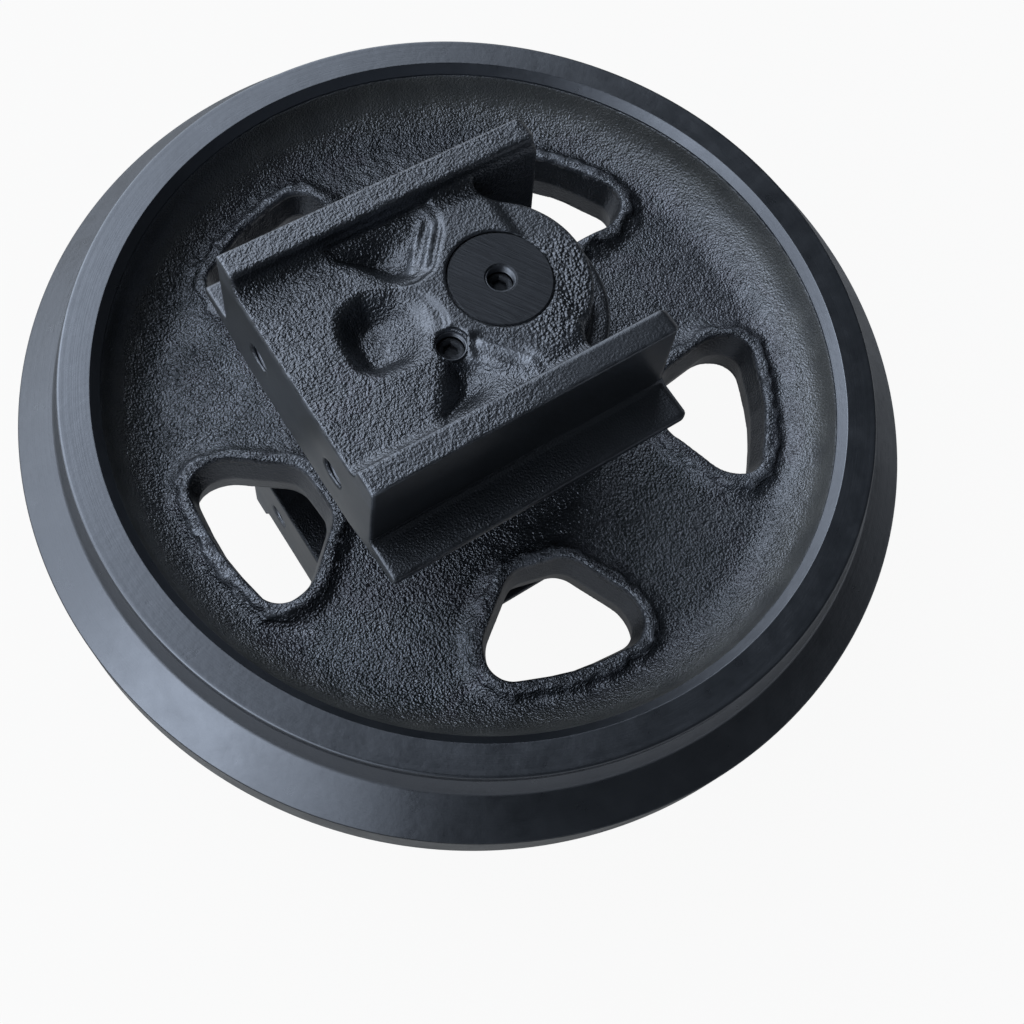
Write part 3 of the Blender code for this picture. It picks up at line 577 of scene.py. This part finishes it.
def groove_distance(x, y, start, end):
    """Distance to a straight line between two points, seen from above."""
    run_x, run_y = end[0] - start[0], end[1] - start[1]
    along = np.clip(((x - start[0]) * run_x + (y - start[1]) * run_y) / (run_x**2 + run_y**2), 0, 1)
    return np.hypot(x - start[0] - run_x * along, y - start[1] - run_y * along)


def well_depth(x, y):
    """Depth of the bowl beside the boss, its floor climbing toward the shaft."""
    inside = -polygon_distance(x, y, well_outline())
    along = (x - WELL_RAMP_TOP[0]) * math.cos(WELL_RAMP_TURN)
    along = along + (y - WELL_RAMP_TOP[1]) * math.sin(WELL_RAMP_TURN)
    ramp = smooth_step(along, -4 * MM, WELL_RAMP_RUN)
    depth = WELL_DEPTH * smooth_step(inside, -3 * MM, 11 * MM) * ramp
    return depth - POCKET_SURROUND * smooth_step(-inside, 1 * MM, 7 * MM)


def side_pocket_depth(x, y):
    """Depth of the three-cornered pocket, its floor climbing to two ridges that meet in a knob."""
    inside = -polygon_distance(x, y, side_pocket_outline())
    depth = SIDE_POCKET_DEPTH * smooth_step(inside, -2 * MM, 14 * MM)
    depth *= 1 - 0.72 * smooth_step(45 * MM - x + 0.2 * (y - 30 * MM), 0, 24 * MM)
    inner = groove_distance(x, y, *POCKET_INNER_RIDGE)
    outer = groove_distance(x, y, *POCKET_OUTER_RIDGE)
    knob = np.hypot(x - POCKET_KNOB[0], y - POCKET_KNOB[1])
    depth -= INNER_RIDGE_HEIGHT * np.exp(-(inner / RIDGE_WIDTH)**2)
    depth -= OUTER_RIDGE_HEIGHT * np.exp(-(outer / RIDGE_WIDTH)**2)
    depth -= KNOB_HEIGHT * np.exp(-(knob / KNOB_RADIUS)**2)
    return depth - POCKET_SURROUND * smooth_step(-inside, 1 * MM, 7 * MM)


def bracket_field(x, y, z):
    side = np.abs(y)
    section = polygon_distance(side[0] + 0 * z[0], z[0] + 0 * side[0], channel_outline())[None, :, :]
    far = -(x - HORN_FOOT) + (z - BASE_FACE) * HORN_SLOPE
    body = keep(section + 0 * x, far + 0 * y, HORN_EDGE)
    radius = np.hypot(x, y)
    notch_wall = np.maximum(side - (RAIL_INNER - 1.6 * MM), x + NOTCH_START)
    body = cut(body, notch_wall + 0 * z, NOTCH_EDGE)
    boss_rise = (z - BASE_FACE) / (WEB_TOP - BASE_FACE)
    boss = keep(radius - BOSS_RADIUS - BOSS_DRAFT * (1 - boss_rise), z - WEB_TOP, BOSS_EDGE)
    boss = np.maximum(boss, BASE_FACE - z)
    body = join(body, boss, NOTCH_CORNER)
    body = np.maximum(body, z - RAIL_TOP)
    collar = keep(radius - COLLAR_RADIUS, z - COLLAR_TOP, COLLAR_FILLET)
    collar = keep(collar, COLLAR_FOOT - z, 0.6 * MM)
    body = join(body, collar, COLLAR_FILLET)
    body = keep(body, (x - END_FACE) + 0 * z, END_EDGE)

    flat_x, flat_y = (side_array[:, :, 0] for side_array in np.broadcast_arrays(x, y))
    sunk = np.maximum(well_depth(flat_x, flat_y), side_pocket_depth(flat_x, np.abs(flat_y)))
    hollow = np.maximum(WEB_TOP - sunk[:, :, None] - z, z - WEB_TOP - 3 * MM)
    body = cut(body, np.maximum(hollow, side - (RAIL_INNER - 1.5 * MM)), POCKET_EDGE)

    housing = np.maximum(radius - SEAL_HOUSING_RADIUS, z - (COLLAR_FOOT + SEAL_HOUSING_DEPTH))
    body = np.maximum(body, -housing)
    nose = np.maximum(radius - NOSE_RADIUS, np.maximum(NOSE_FACE - z, z - BASE_FACE - 10 * MM))
    body = np.minimum(body, nose)
    body = np.maximum(body, SHAFT_RADIUS + 0.3 * MM - radius)
    for sign in (-1, 1):
        across = np.hypot(y - sign * YOKE_HOLE_SPACING / 2, z - YOKE_HOLE_LEVEL)
        mouth = YOKE_HOLE_RADIUS + np.maximum(x - END_FACE + 1.0 * MM, 0)
        hole = np.maximum(across - mouth, END_FACE - YOKE_HOLE_DEPTH - x)
        body = np.maximum(body, -hole)
    across = np.hypot(x - FILL_HOLE[0], y - FILL_HOLE[1])
    mouth = FILL_HOLE_RADIUS + np.clip(z - WEB_TOP + 1.0 * MM, 0, 1.0 * MM)
    body = np.maximum(body, -np.maximum(across - mouth, WEB_TOP - FILL_HOLE_DEPTH - z))
    across = np.hypot(y, z - LOCK_HOLE_LEVEL)
    return np.maximum(body, -np.maximum(across - LOCK_HOLE_RADIUS, x))


def end_face_share(points):
    """1 on the machined end face, 0 a little behind it."""
    return np.clip((points[:, 0] - END_FACE + 0.6 * MM) / (0.3 * MM), 0, 1)


def bracket_smoothness(points):
    """How smooth each place of the bracket is, 1 where it was machined."""
    side = np.abs(points[:, 1])
    level = points[:, 2]
    radius = np.hypot(points[:, 0], points[:, 1])
    rail_side = np.clip((0.5 * MM - np.abs(side - RAIL_OUTER)) / (0.2 * MM), 0, 1)
    rail_side *= level > LEDGE_TOP + 3 * MM
    turned = (radius < COLLAR_RADIUS + 0.6 * MM) & (level < BASE_FACE)
    bore = radius < SHAFT_RADIUS + 1.0 * MM
    ledge = 0.8 * smooth_step(side, RAIL_OUTER - 1 * MM, RAIL_OUTER + 1 * MM)
    ledge *= level < LEDGE_TOP + 4 * MM
    recess = 0.75 * (side < RAIL_INNER) * (level < COLLAR_TOP + 6 * MM)
    boss = 0.36 + 0.36 * smooth_step(BOSS_RADIUS + 3 * MM - radius, 0, 6 * MM)
    horn = smooth_step(-points[:, 0], -50 * MM, 10 * MM) * (points[:, 1] > 0)
    rail = smooth_step(side, RAIL_INNER - 5 * MM, RAIL_INNER - 1 * MM) * (0.58 + 0.34 * horn)
    inner_wall = 0.65 * smooth_step(level, WEB_TOP + 2 * MM, WEB_TOP + 5 * MM)
    inner_wall *= side < RAIL_INNER + 0.4 * MM
    machined = [end_face_share(points), rail_side, turned, bore]
    return np.max(machined + [ledge, recess, boss, rail, inner_wall], axis=0)


def bracket_wear_and_highlights(points, proud):
    """How far the paint is scuffed off edges, one rail corner and the ridges in the pockets; on the end
    face's top edge and on the ridges the lighter colour is also a painted highlight.
    """
    side = np.abs(points[:, 1])
    level = points[:, 2]
    corner = np.linalg.norm(points - (END_FACE, RAIL_OUTER, RAIL_TOP), axis=1)
    corner_wear = np.clip(1 - corner / (9 * MM), 0, 1)
    # Lighter line along the end face's top edge: scuffed paint, and also a painted highlight on the rounded
    # edge
    end_edge = np.clip(1 - np.abs(points[:, 0] - END_FACE + 0.9 * MM) / (1.2 * MM), 0, 1)
    end_edge *= level > WEB_TOP - 4 * MM
    # Lighter ridges and knob in the pockets: scuffed paint, and also a painted highlight on their crests
    ridges = [
        groove_distance(points[:, 0], side, *POCKET_INNER_RIDGE) / RUBBED_AND_HIGHLIT_WIDTH,
        groove_distance(points[:, 0], side, *POCKET_OUTER_RIDGE) / RUBBED_AND_HIGHLIT_WIDTH,
        np.hypot(points[:, 0] - POCKET_KNOB[0], side - POCKET_KNOB[1]) / KNOB_RADIUS,
    ]
    rubbed_and_highlit = np.exp(-np.min(ridges, axis=0)**2)
    rubbed_and_highlit *= (level > WEB_TOP - SIDE_POCKET_DEPTH) & (level < WEB_TOP + 3 * MM)
    # Edges that stand proud and the rail corner, scuffed bare
    wear_and_highlights = np.clip(proud / (0.12 * MM), 0, 1) * (0.2 + corner_wear)
    return np.max([wear_and_highlights, 0.7 * end_edge, 0.8 * rubbed_and_highlit], axis=0)


def boss_pebbles(points, radius):
    """Share of coarse round grains, on the part of the boss away from the end face."""
    share = np.clip((BOSS_RADIUS - radius) / (6 * MM), 0, 1) * (points[:, 2] > WEB_TOP - 2 * MM)
    share *= np.clip((10 * MM - points[:, 0]) / (20 * MM), 0, 1)
    return share * np.clip((points[:, 1] + 15 * MM) / (20 * MM), 0, 1)


def bracket_mesh():
    """One guide bracket as a rough casting, kept inside the solid's box."""
    low = (HORN_FOOT, -LEDGE_OUTER, NOSE_FACE)
    high = (END_FACE, LEDGE_OUTER, RAIL_TOP)
    margin = 2 * MM
    x, y, z, corner = grid_axes([a - margin for a in low], [b + margin for b in high], BRACKET_VOXEL)
    mesh = mesh_of_field("guide_bracket_casting", bracket_field(x, y, z), corner, BRACKET_VOXEL)
    even_points = coordinates(mesh)
    radius = np.hypot(even_points[:, 0], even_points[:, 1])
    smooth_share = bracket_smoothness(even_points)
    roughen(mesh, smooth_share, 41)
    facing = normals(mesh)
    points = np.clip(coordinates(mesh), low, high).astype(np.float32)
    mesh.vertices.foreach_set("co", points.ravel())
    set_attribute(mesh, "smooth_share", smooth_share)
    # Scuffed edges and corner, with a painted highlight on the end-face edge and the pocket ridges
    set_attribute(mesh, "wear_and_highlights", bracket_wear_and_highlights(points, convexity(mesh, points, facing)))
    set_attribute(mesh, "pebble", boss_pebbles(points, radius))
    # Paler tone on the machined end face
    set_attribute(mesh, "dust_and_bounce_light", 0.4 * end_face_share(even_points))
    return mesh


def guide_brackets(material):
    """Both brackets from one casting; the lower is turned over about X."""
    upper = bracket_mesh()
    lower = upper.copy()
    lower.name = "guide_bracket_casting_lower"
    upper.transform(Matrix.Translation((0, 0, AXIS_HEIGHT)))
    lower.transform(Matrix.Translation((0, 0, AXIS_HEIGHT)) @ Matrix.Rotation(math.pi, 4, "X"))
    object_of("guide_bracket_casting_upper", upper, material, "root", ["guide_bracket_upper"])
    object_of("guide_bracket_casting_lower", lower, material, "root", ["guide_bracket_lower"])


def thread_sleeve(name, radius, depth, pitch, start, end, matrix, material):
    """Inside thread as a thin sleeve whose bore waves along a helix. It runs along Z."""
    around = 48
    steps = math.ceil((end - start) / pitch * 8)
    bm = bmesh.new()
    inner = []
    outer = []
    for step in range(steps + 1):
        level = start + (end - start) * step / steps
        inner_row = []
        outer_row = []
        for index in range(around):
            angle = math.tau * index / around
            phase = (level / pitch - index / around) % 1.0
            bore = radius - depth * (1 - abs(2 * phase - 1))
            inner_row.append(bm.verts.new((bore * math.cos(angle), bore * math.sin(angle), level)))
            reach = radius + 0.3 * MM
            outer_row.append(bm.verts.new((reach * math.cos(angle), reach * math.sin(angle), level)))
        inner.append(inner_row)
        outer.append(outer_row)
    for index in range(around):
        after = (index + 1) % around
        for row in range(steps):
            bm.faces.new((inner[row][index], inner[row + 1][index], inner[row + 1][after], inner[row][after]))
            bm.faces.new((outer[row][index], outer[row][after], outer[row + 1][after], outer[row + 1][index]))
        bm.faces.new((inner[0][index], inner[0][after], outer[0][after], outer[0][index]))
        bm.faces.new((inner[-1][index], outer[-1][index], outer[-1][after], inner[-1][after]))
    bmesh.ops.recalc_face_normals(bm, faces=bm.faces)
    bm.transform(matrix)
    mesh = bpy.data.meshes.new(name)
    bm.to_mesh(mesh)
    bm.free()
    mesh.shade_smooth()
    return object_of(name, mesh, material, "root")


def side_matrix(side):
    middle = Matrix.Translation((0, 0, AXIS_HEIGHT))
    return middle if side == "upper" else middle @ Matrix.Rotation(math.pi, 4, "X")


def threads(material):
    for side in ("upper", "lower"):
        place = side_matrix(side)
        for number, sign in enumerate((-1, 1), 1):
            along = Matrix.Translation((END_FACE, sign * YOKE_HOLE_SPACING / 2, YOKE_HOLE_LEVEL))
            turn = along @ Matrix.Rotation(math.pi / 2, 4, "Y")
            thread_sleeve("yoke_thread_%s_%d" % (side, number), YOKE_HOLE_RADIUS, 0.9 * MM, 2 * MM,
                          -26 * MM, -1.2 * MM, place @ turn, material)
        fill = Matrix.Translation((FILL_HOLE[0], FILL_HOLE[1], 0))
        thread_sleeve("fill_thread_" + side, FILL_HOLE_RADIUS, 0.8 * MM, 1.5 * MM,
                      WEB_TOP - PLUG_SINK + 0.1 * MM, WEB_TOP - 1.7 * MM, place @ fill, material)
        thread_sleeve("shaft_thread_" + side, END_HOLE_RADIUS + 0.1 * MM, 0.8 * MM, 1.5 * MM,
                      SHAFT_END - PLUG_SINK + 0.1 * MM, SHAFT_END - 0.9 * MM, place, material)


def hidden_tool(name, mesh):
    """Cutter for a Boolean, not shown."""
    tool = bpy.data.objects.new(name, mesh)
    bpy.context.scene.collection.objects.link(tool)
    tool.hide_render = True
    tool.hide_viewport = True
    return tool


def bar_mesh(name, radius, start, end, matrix=Matrix.Identity(4), segments=48):
    mesh = lathe_mesh(name, [(0, start), (radius, start), (radius, end), (0, end)], segments, closed=False)
    mesh.transform(matrix)
    return mesh


def subtract(piece, tool):
    modifier = piece.modifiers.new(tool.name, "BOOLEAN")
    modifier.operation = "DIFFERENCE"
    modifier.solver = "EXACT"
    modifier.object = tool
    modifier.show_render = True


def shaft_piece(material):
    """Shaft bar with chamfered ends, plug holes, O-ring grooves and lock pin seats."""
    chamfer = 1.0 * MM
    mouth = 0.9 * MM
    groove = SHAFT_RADIUS - 3.0 * MM
    groove_levels = (100.7 * MM, 104.7 * MM)
    floor = SHAFT_END - END_HOLE_DEPTH
    half = [
        (4.0 * MM, floor),
        (END_HOLE_RADIUS + 0.15 * MM, floor),
        (END_HOLE_RADIUS + 0.15 * MM, SHAFT_END - mouth),
        (END_HOLE_RADIUS + 0.15 * MM + mouth, SHAFT_END),
        (SHAFT_RADIUS - chamfer, SHAFT_END),
        (SHAFT_RADIUS, SHAFT_END - chamfer),
        (SHAFT_RADIUS, groove_levels[1]),
        (groove, groove_levels[1]),
        (groove, groove_levels[0]),
        (SHAFT_RADIUS, groove_levels[0]),
    ]
    mesh = lathe_mesh("shaft_bar", mirrored(half), 128)
    mesh.transform(Matrix.Translation((0, 0, AXIS_HEIGHT)))
    piece = object_of("shaft_bar", mesh, material, "root", ["shaft"])
    quarter = Matrix.Rotation(math.pi / 2, 4, "Y")
    for side in ("upper", "lower"):
        place = side_matrix(side) @ Matrix.Translation((0, 0, LOCK_HOLE_LEVEL)) @ quarter
        seat = bar_mesh("seat_tool_" + side, LOCK_HOLE_RADIUS, -30.3 * MM, -13.25 * MM, place)
        subtract(piece, hidden_tool("seat_tool_" + side, seat))
    return piece


def plug(name, node, radius, top, offset, side, material):
    """Socket screw plug, its rim chamfered and its hexagon sunk."""
    thickness = 7.0 * MM
    chamfer = 0.6 * MM
    profile = [(0, top - thickness), (radius, top - thickness), (radius, top - chamfer),
               (radius - chamfer, top), (0, top)]
    place = side_matrix(side) @ Matrix.Translation((offset[0], offset[1], 0))
    mesh = lathe_mesh(name, profile, 48, closed=False)
    mesh.transform(place)
    piece = object_of(name, mesh, material, "root", [node])
    hexagon = bar_mesh(name + "_tool", 4.0 * MM, top - 3.5 * MM, top + 2 * MM, place, 6)
    subtract(piece, hidden_tool(name + "_tool", hexagon))
    return piece


def plugs(material):
    for side in ("upper", "lower"):
        plug("shaft_end_plug_" + side, "shaft_plug_" + side, END_HOLE_RADIUS - 0.4 * MM,
             SHAFT_END - PLUG_SINK, (0, 0), side, material)
        plug("oil_fill_plug_" + side, "fill_plug_" + side, FILL_HOLE_RADIUS - 0.5 * MM,
             WEB_TOP - PLUG_SINK, FILL_HOLE, side, material)


class Nodes:
    """Short hand for building a node tree."""

    def __init__(self, tree):
        self.tree = tree

    def add(self, kind, inputs=None, **settings):
        node = self.tree.nodes.new(kind)
        for key, value in settings.items():
            setattr(node, key, value)
        for key, value in (inputs or {}).items():
            self.feed(node, key, value)
        return node

    def feed(self, node, key, value):
        socket = node.inputs[key]
        if isinstance(value, bpy.types.NodeSocket):
            self.tree.links.new(value, socket)
        else:
            socket.default_value = value

    def value(self, operation, *values):
        node = self.add("ShaderNodeMath", operation=operation)
        for index, value in enumerate(values):
            self.feed(node, index, value)
        return node.outputs[0]

    def noise(self, place, scale, detail=2.0, roughness=0.5):
        node = self.add("ShaderNodeTexNoise", {"Vector": place, "Scale": scale, "Detail": detail,
                                               "Roughness": roughness})
        return node.outputs["Fac"]

    def grains(self, place, scale):
        """Round grains packed side by side, 1 at their tops."""
        cells = self.add("ShaderNodeTexVoronoi", {"Vector": place, "Scale": scale}, feature="F1")
        return self.remap(cells.outputs["Distance"], 0.05, 0.75, 1.0, 0.0)

    def remap(self, value, low, high, out_low=0.0, out_high=1.0):
        node = self.add("ShaderNodeMapRange", {"Value": value, "From Min": low, "From Max": high,
                                               "To Min": out_low, "To Max": out_high})
        return node.outputs[0]

    def blend(self, share, first, second):
        node = self.add("ShaderNodeMix", data_type="RGBA")
        self.feed(node, 0, share)
        self.feed(node, 6, first)
        self.feed(node, 7, second)
        return node.outputs[2]

    def mix_value(self, share, first, second):
        node = self.add("ShaderNodeMix", data_type="FLOAT")
        self.feed(node, 0, share)
        self.feed(node, 2, first)
        self.feed(node, 3, second)
        return node.outputs[0]

    def bump(self, height, distance, strength=1.0, normal=None):
        node = self.add("ShaderNodeBump", {"Height": height, "Distance": distance, "Strength": strength})
        if normal is not None:
            self.feed(node, "Normal", normal)
        return node.outputs[0]

    def place(self):
        return self.add("ShaderNodeTexCoord").outputs["Object"]

    def attribute(self, name):
        return self.add("ShaderNodeAttribute", attribute_name=name).outputs["Fac"]


class Finish(Nodes):
    """A material's node tree and its main shader."""

    def __init__(self, name):
        self.material = bpy.data.materials.new(name)
        self.material.use_nodes = True
        super().__init__(self.material.node_tree)
        self.shader = self.tree.nodes["Principled BSDF"]

    def paint_film(self, gloss):
        """Give the shader a black paint's reflection, tinted by a painted bluish light."""
        self.feed(self.shader, "Specular IOR Level", gloss)
        self.feed(self.shader, "IOR", PAINT_INDEX)
        self.feed(self.shader, "Specular Tint", PAINTED_BLUISH_LIGHT_TINT)


def cast_paint():
    """Black paint over a sand casting: a pebbly skin, smoother where it was machined first."""
    n = Finish("cast_paint_finish")
    place = n.place()
    smooth = n.attribute("smooth_share")
    wear_and_highlights = n.attribute("wear_and_highlights")
    pebble = n.attribute("pebble")
    dust_and_bounce_light = n.attribute("dust_and_bounce_light")
    crest = n.attribute("crest")
    patches = n.noise(place, 22.0, 3.0)
    drift = n.noise(place, 55.0, 2.0)
    colour = n.blend(n.remap(patches, 0.35, 0.7), DARK_PAINT, LIGHT_PAINT)
    # Painted bounce light on the rim's inner wall and a paler tone on the bracket end face, broken up by
    # noise
    dust_and_bounce_share = n.value("MULTIPLY", dust_and_bounce_light, n.remap(drift, 0.2, 0.7, 0.5, 1.0))
    colour = n.blend(dust_and_bounce_share, colour, DUST_AND_BOUNCE_COLOUR)
    chips = n.noise(place, 105.0, 5.0, 0.6)
    # Lighter scuffed paint, which on the bracket's end-face edge and pocket ridges also paints a highlight
    worn_and_highlit = n.value("MULTIPLY", wear_and_highlights, n.remap(chips, 0.47, 0.53, 0.25, 1.0))
    colour = n.blend(n.value("MINIMUM", worn_and_highlit, 1.0), colour, WORN_AND_HIGHLIGHT_COLOUR)
    n.feed(n.shader, "Base Color", colour)
    n.feed(n.shader, "Roughness", n.mix_value(smooth, 0.23, n.remap(patches, 0.3, 0.7, 0.30, 0.40)))
    n.paint_film(CAST_GLOSS)
    amount = n.value("MULTIPLY", n.remap(smooth, 0.0, 1.0, 1.0, 0.03), n.remap(drift, 0.3, 0.7, 0.7, 1.2))
    normal = n.bump(n.value("MULTIPLY", n.noise(place, 860.0, 1.0), amount), 0.0014)
    normal = n.bump(n.value("MULTIPLY", n.noise(place, 300.0, 1.0), amount), 0.0007, normal=normal)
    skin = n.value("MULTIPLY", n.value("SUBTRACT", 1.0, smooth), 0.15)
    domes = n.value("MULTIPLY", n.grains(place, 560.0), n.value("MAXIMUM", pebble, skin))
    normal = n.bump(domes, 0.0010, normal=normal)
    flakes = n.value("MULTIPLY", crest, n.remap(chips, 0.485, 0.515))
    normal = n.bump(flakes, 0.0007, normal=normal)
    n.feed(n.shader, "Normal", normal)
    return n.material


def turned_paint(name, gloss):
    """Black paint over turned faces: fine rings round the axis, smudges and a few scuffs."""
    n = Finish(name)
    place = n.place()
    parts = n.add("ShaderNodeSeparateXYZ", {"Vector": place})
    radius = n.value("SQRT", n.value("ADD", n.value("MULTIPLY", parts.outputs[0], parts.outputs[0]),
                                     n.value("MULTIPLY", parts.outputs[1], parts.outputs[1])))
    rings = n.add("ShaderNodeCombineXYZ", {"X": radius, "Y": parts.outputs[2]})
    marks = n.noise(rings.outputs[0], 900.0, 3.0, 0.6)
    smudge = n.noise(place, 9.0, 5.0, 0.6)
    # This noise only varies the roughness; it paints no light
    dust_and_bounce_light = n.noise(place, 60.0, 6.0, 0.65)
    colour = n.blend(n.remap(smudge, 0.35, 0.68), (0.0060, 0.0072, 0.0090, 1), (0.0095, 0.0110, 0.0135, 1))
    n.feed(n.shader, "Base Color", colour)
    n.feed(n.shader, "Roughness", n.remap(dust_and_bounce_light, 0.3, 0.7, 0.26, 0.38))
    n.paint_film(gloss)
    normal = n.bump(marks, 0.00006)
    normal = n.bump(n.noise(place, 240.0, 3.0), 0.00008, normal=normal)
    n.feed(n.shader, "Normal", normal)
    return n.material


def shaft_paint():
    """Thin black paint over a sawn and turned end, straight scratches showing through."""
    n = Finish("shaft_paint_finish")
    place = n.place()
    slant = n.add("ShaderNodeMapping", {"Vector": place, "Rotation": (0, 0, math.radians(124)),
                                        "Scale": (18.0, 1.0, 1.0)}, vector_type="TEXTURE")
    scratches = n.noise(slant.outputs[0], 700.0, 4.0, 0.7)
    patches = n.noise(place, 60.0, 3.0)
    colour = n.blend(n.remap(scratches, 0.45, 0.75), (0.0060, 0.0068, 0.0085, 1), (0.016, 0.018, 0.021, 1))
    n.feed(n.shader, "Base Color", colour)
    n.feed(n.shader, "Roughness", n.remap(patches, 0.3, 0.7, 0.40, 0.52))
    n.paint_film(SHAFT_GLOSS)
    n.feed(n.shader, "Normal", n.bump(scratches, 0.00070))
    return n.material


def plain_metal(name, colour, low, high, metallic, scale, depth):
    """Metal with fine grain and roughness that drifts between low and high."""
    n = Finish(name)
    place = n.place()
    grain = n.noise(place, scale, 4.0, 0.6)
    darker = tuple(0.72 * part for part in colour) + (1,)
    n.feed(n.shader, "Base Color", n.blend(n.remap(grain, 0.3, 0.7), darker, tuple(colour) + (1,)))
    n.feed(n.shader, "Roughness", n.remap(n.noise(place, scale / 6, 2.0), 0.3, 0.7, low, high))
    n.feed(n.shader, "Metallic", metallic)
    n.feed(n.shader, "Normal", n.bump(grain, depth))
    return n.material


def paint_nodes():
    """Finish of the solids that show as they are."""
    bronze = plain_metal("bush_bronze_finish", (0.48, 0.32, 0.14), 0.28, 0.42, 0.9, 900.0, 0.00004)
    iron = plain_metal("seal_iron_finish", (0.40, 0.40, 0.41), 0.18, 0.32, 1.0, 1200.0, 0.00002)
    rubber = plain_metal("seal_rubber_finish", (0.015, 0.015, 0.015), 0.55, 0.75, 0.0, 1500.0, 0.00006)
    steel = plain_metal("pin_steel_finish", (0.05, 0.052, 0.056), 0.34, 0.50, 0.6, 800.0, 0.00005)
    finishes = {"bush": bronze, "hub_seal_ring": iron, "bracket_seal_ring": iron, "hub_seal_toric": rubber,
                "bracket_seal_toric": rubber, "shaft_o_ring": rubber, "lock_pin": steel}
    for name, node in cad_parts.items():
        finish = finishes.get(name.rsplit("_", 1)[0])
        if finish:
            node.data.materials.clear()
            node.data.materials.append(finish)


def camera():
    """The photograph's viewpoint, above the end faces and turned a little about its own axis."""
    place = Vector((0.2293, 0.2406, 0.8030))
    target = Vector((0.01716, 0.06681, 0.1485))
    roll = math.radians(18.6)
    data = bpy.data.cameras.new("camera")
    data.sensor_width = 36.0
    data.lens = 44.19
    view = bpy.data.objects.new("camera", data)
    bpy.context.scene.collection.objects.link(view)
    aim = (target - place).to_track_quat("-Z", "Y").to_matrix().to_4x4()
    view.matrix_world = Matrix.Translation(place) @ aim @ Matrix.Rotation(roll, 4, "Z")
    bpy.context.scene.camera = view


def direction(azimuth, elevation):
    """Unit vector from an azimuth and an elevation in degrees."""
    turn, lift = math.radians(azimuth), math.radians(elevation)
    return (math.cos(lift) * math.cos(turn), math.cos(lift) * math.sin(turn), math.sin(lift))


def glow_toward(n, ray, azimuth, elevation, edge, full, strength):
    """Light from one part of the surroundings, fading from full to nothing at its edge (degrees away)."""
    toward = direction(azimuth, elevation)
    facing = n.add("ShaderNodeVectorMath", {0: ray, 1: toward}, operation="DOT_PRODUCT")
    low, high = math.cos(math.radians(edge)), math.cos(math.radians(full))
    fade = n.add("ShaderNodeMapRange", {"Value": facing.outputs["Value"], "From Min": low, "From Max": high,
                                        "To Min": 0.0, "To Max": strength}, interpolation_type="SMOOTHSTEP")
    return fade.outputs[0]


def surroundings():
    """Soft light from one open side of a dim room."""
    world = bpy.data.worlds.new("surroundings")
    bpy.context.scene.world = world
    world.use_nodes = True
    n = Nodes(world.node_tree)
    ray = n.add("ShaderNodeTexCoord").outputs["Generated"]
    wide = glow_toward(n, ray, *WIDE_GLOW)
    core = glow_toward(n, ray, *CORE_GLOW)
    spark = glow_toward(n, ray, *SPARK_GLOW)
    total = n.value("ADD", n.value("ADD", wide, core), n.value("ADD", spark, ROOM_LEVEL))
    background = n.tree.nodes["Background"]
    n.feed(background, "Color", ROOM_COLOUR)
    n.feed(background, "Strength", total)


def studio():
    """Floor that the camera sees as nearly white and reflections see dimmer. It keeps the shadow."""
    surroundings()
    floor_mesh = bpy.data.meshes.new("floor")
    reach = 6.0
    floor_mesh.from_pydata([(-reach, -reach, 0), (reach, -reach, 0), (reach, reach, 0), (-reach, reach, 0)],
                           [], [(0, 1, 2, 3)])
    floor = bpy.data.objects.new("floor", floor_mesh)
    bpy.context.scene.collection.objects.link(floor)
    floor.location.z = -0.0005
    n = Finish("floor_finish")
    n.feed(n.shader, "Base Color", (0.30, 0.30, 0.30, 1))
    n.feed(n.shader, "Roughness", 0.8)
    n.feed(n.shader, "Specular IOR Level", 0.2)
    glow = n.add("ShaderNodeEmission", {"Color": (1, 1, 1, 1), "Strength": 1.0})
    path = n.add("ShaderNodeLightPath")
    seen = n.value("MULTIPLY", path.outputs["Is Camera Ray"], FLOOR_WHITE)
    bounced = n.value("MAXIMUM", path.outputs["Is Glossy Ray"], path.outputs["Is Transmission Ray"])
    seen = n.value("MAXIMUM", seen, n.value("MULTIPLY", bounced, FLOOR_GLEAM))
    mix = n.add("ShaderNodeMixShader", {0: seen})
    n.tree.links.new(n.shader.outputs[0], mix.inputs[1])
    n.tree.links.new(glow.outputs[0], mix.inputs[2])
    n.tree.links.new(mix.outputs[0], n.tree.nodes["Material Output"].inputs["Surface"])
    floor_mesh.materials.append(n.material)


bpy.context.scene.view_settings.view_transform = "Standard"
camera()
studio()
cast = cast_paint()
turned = turned_paint("turned_paint_finish", PAINT_GLOSS)
shaft_finish = shaft_paint()
paint_nodes()
wheel_casting(cast)
wheel_rim(turned, turned_paint("land_paint_dull_and_shaded_finish", LAND_DULL_AND_SHADED_GLOSS))
guide_brackets(cast)
shaft_piece(shaft_finish)
plugs(shaft_finish)
threads(turned)
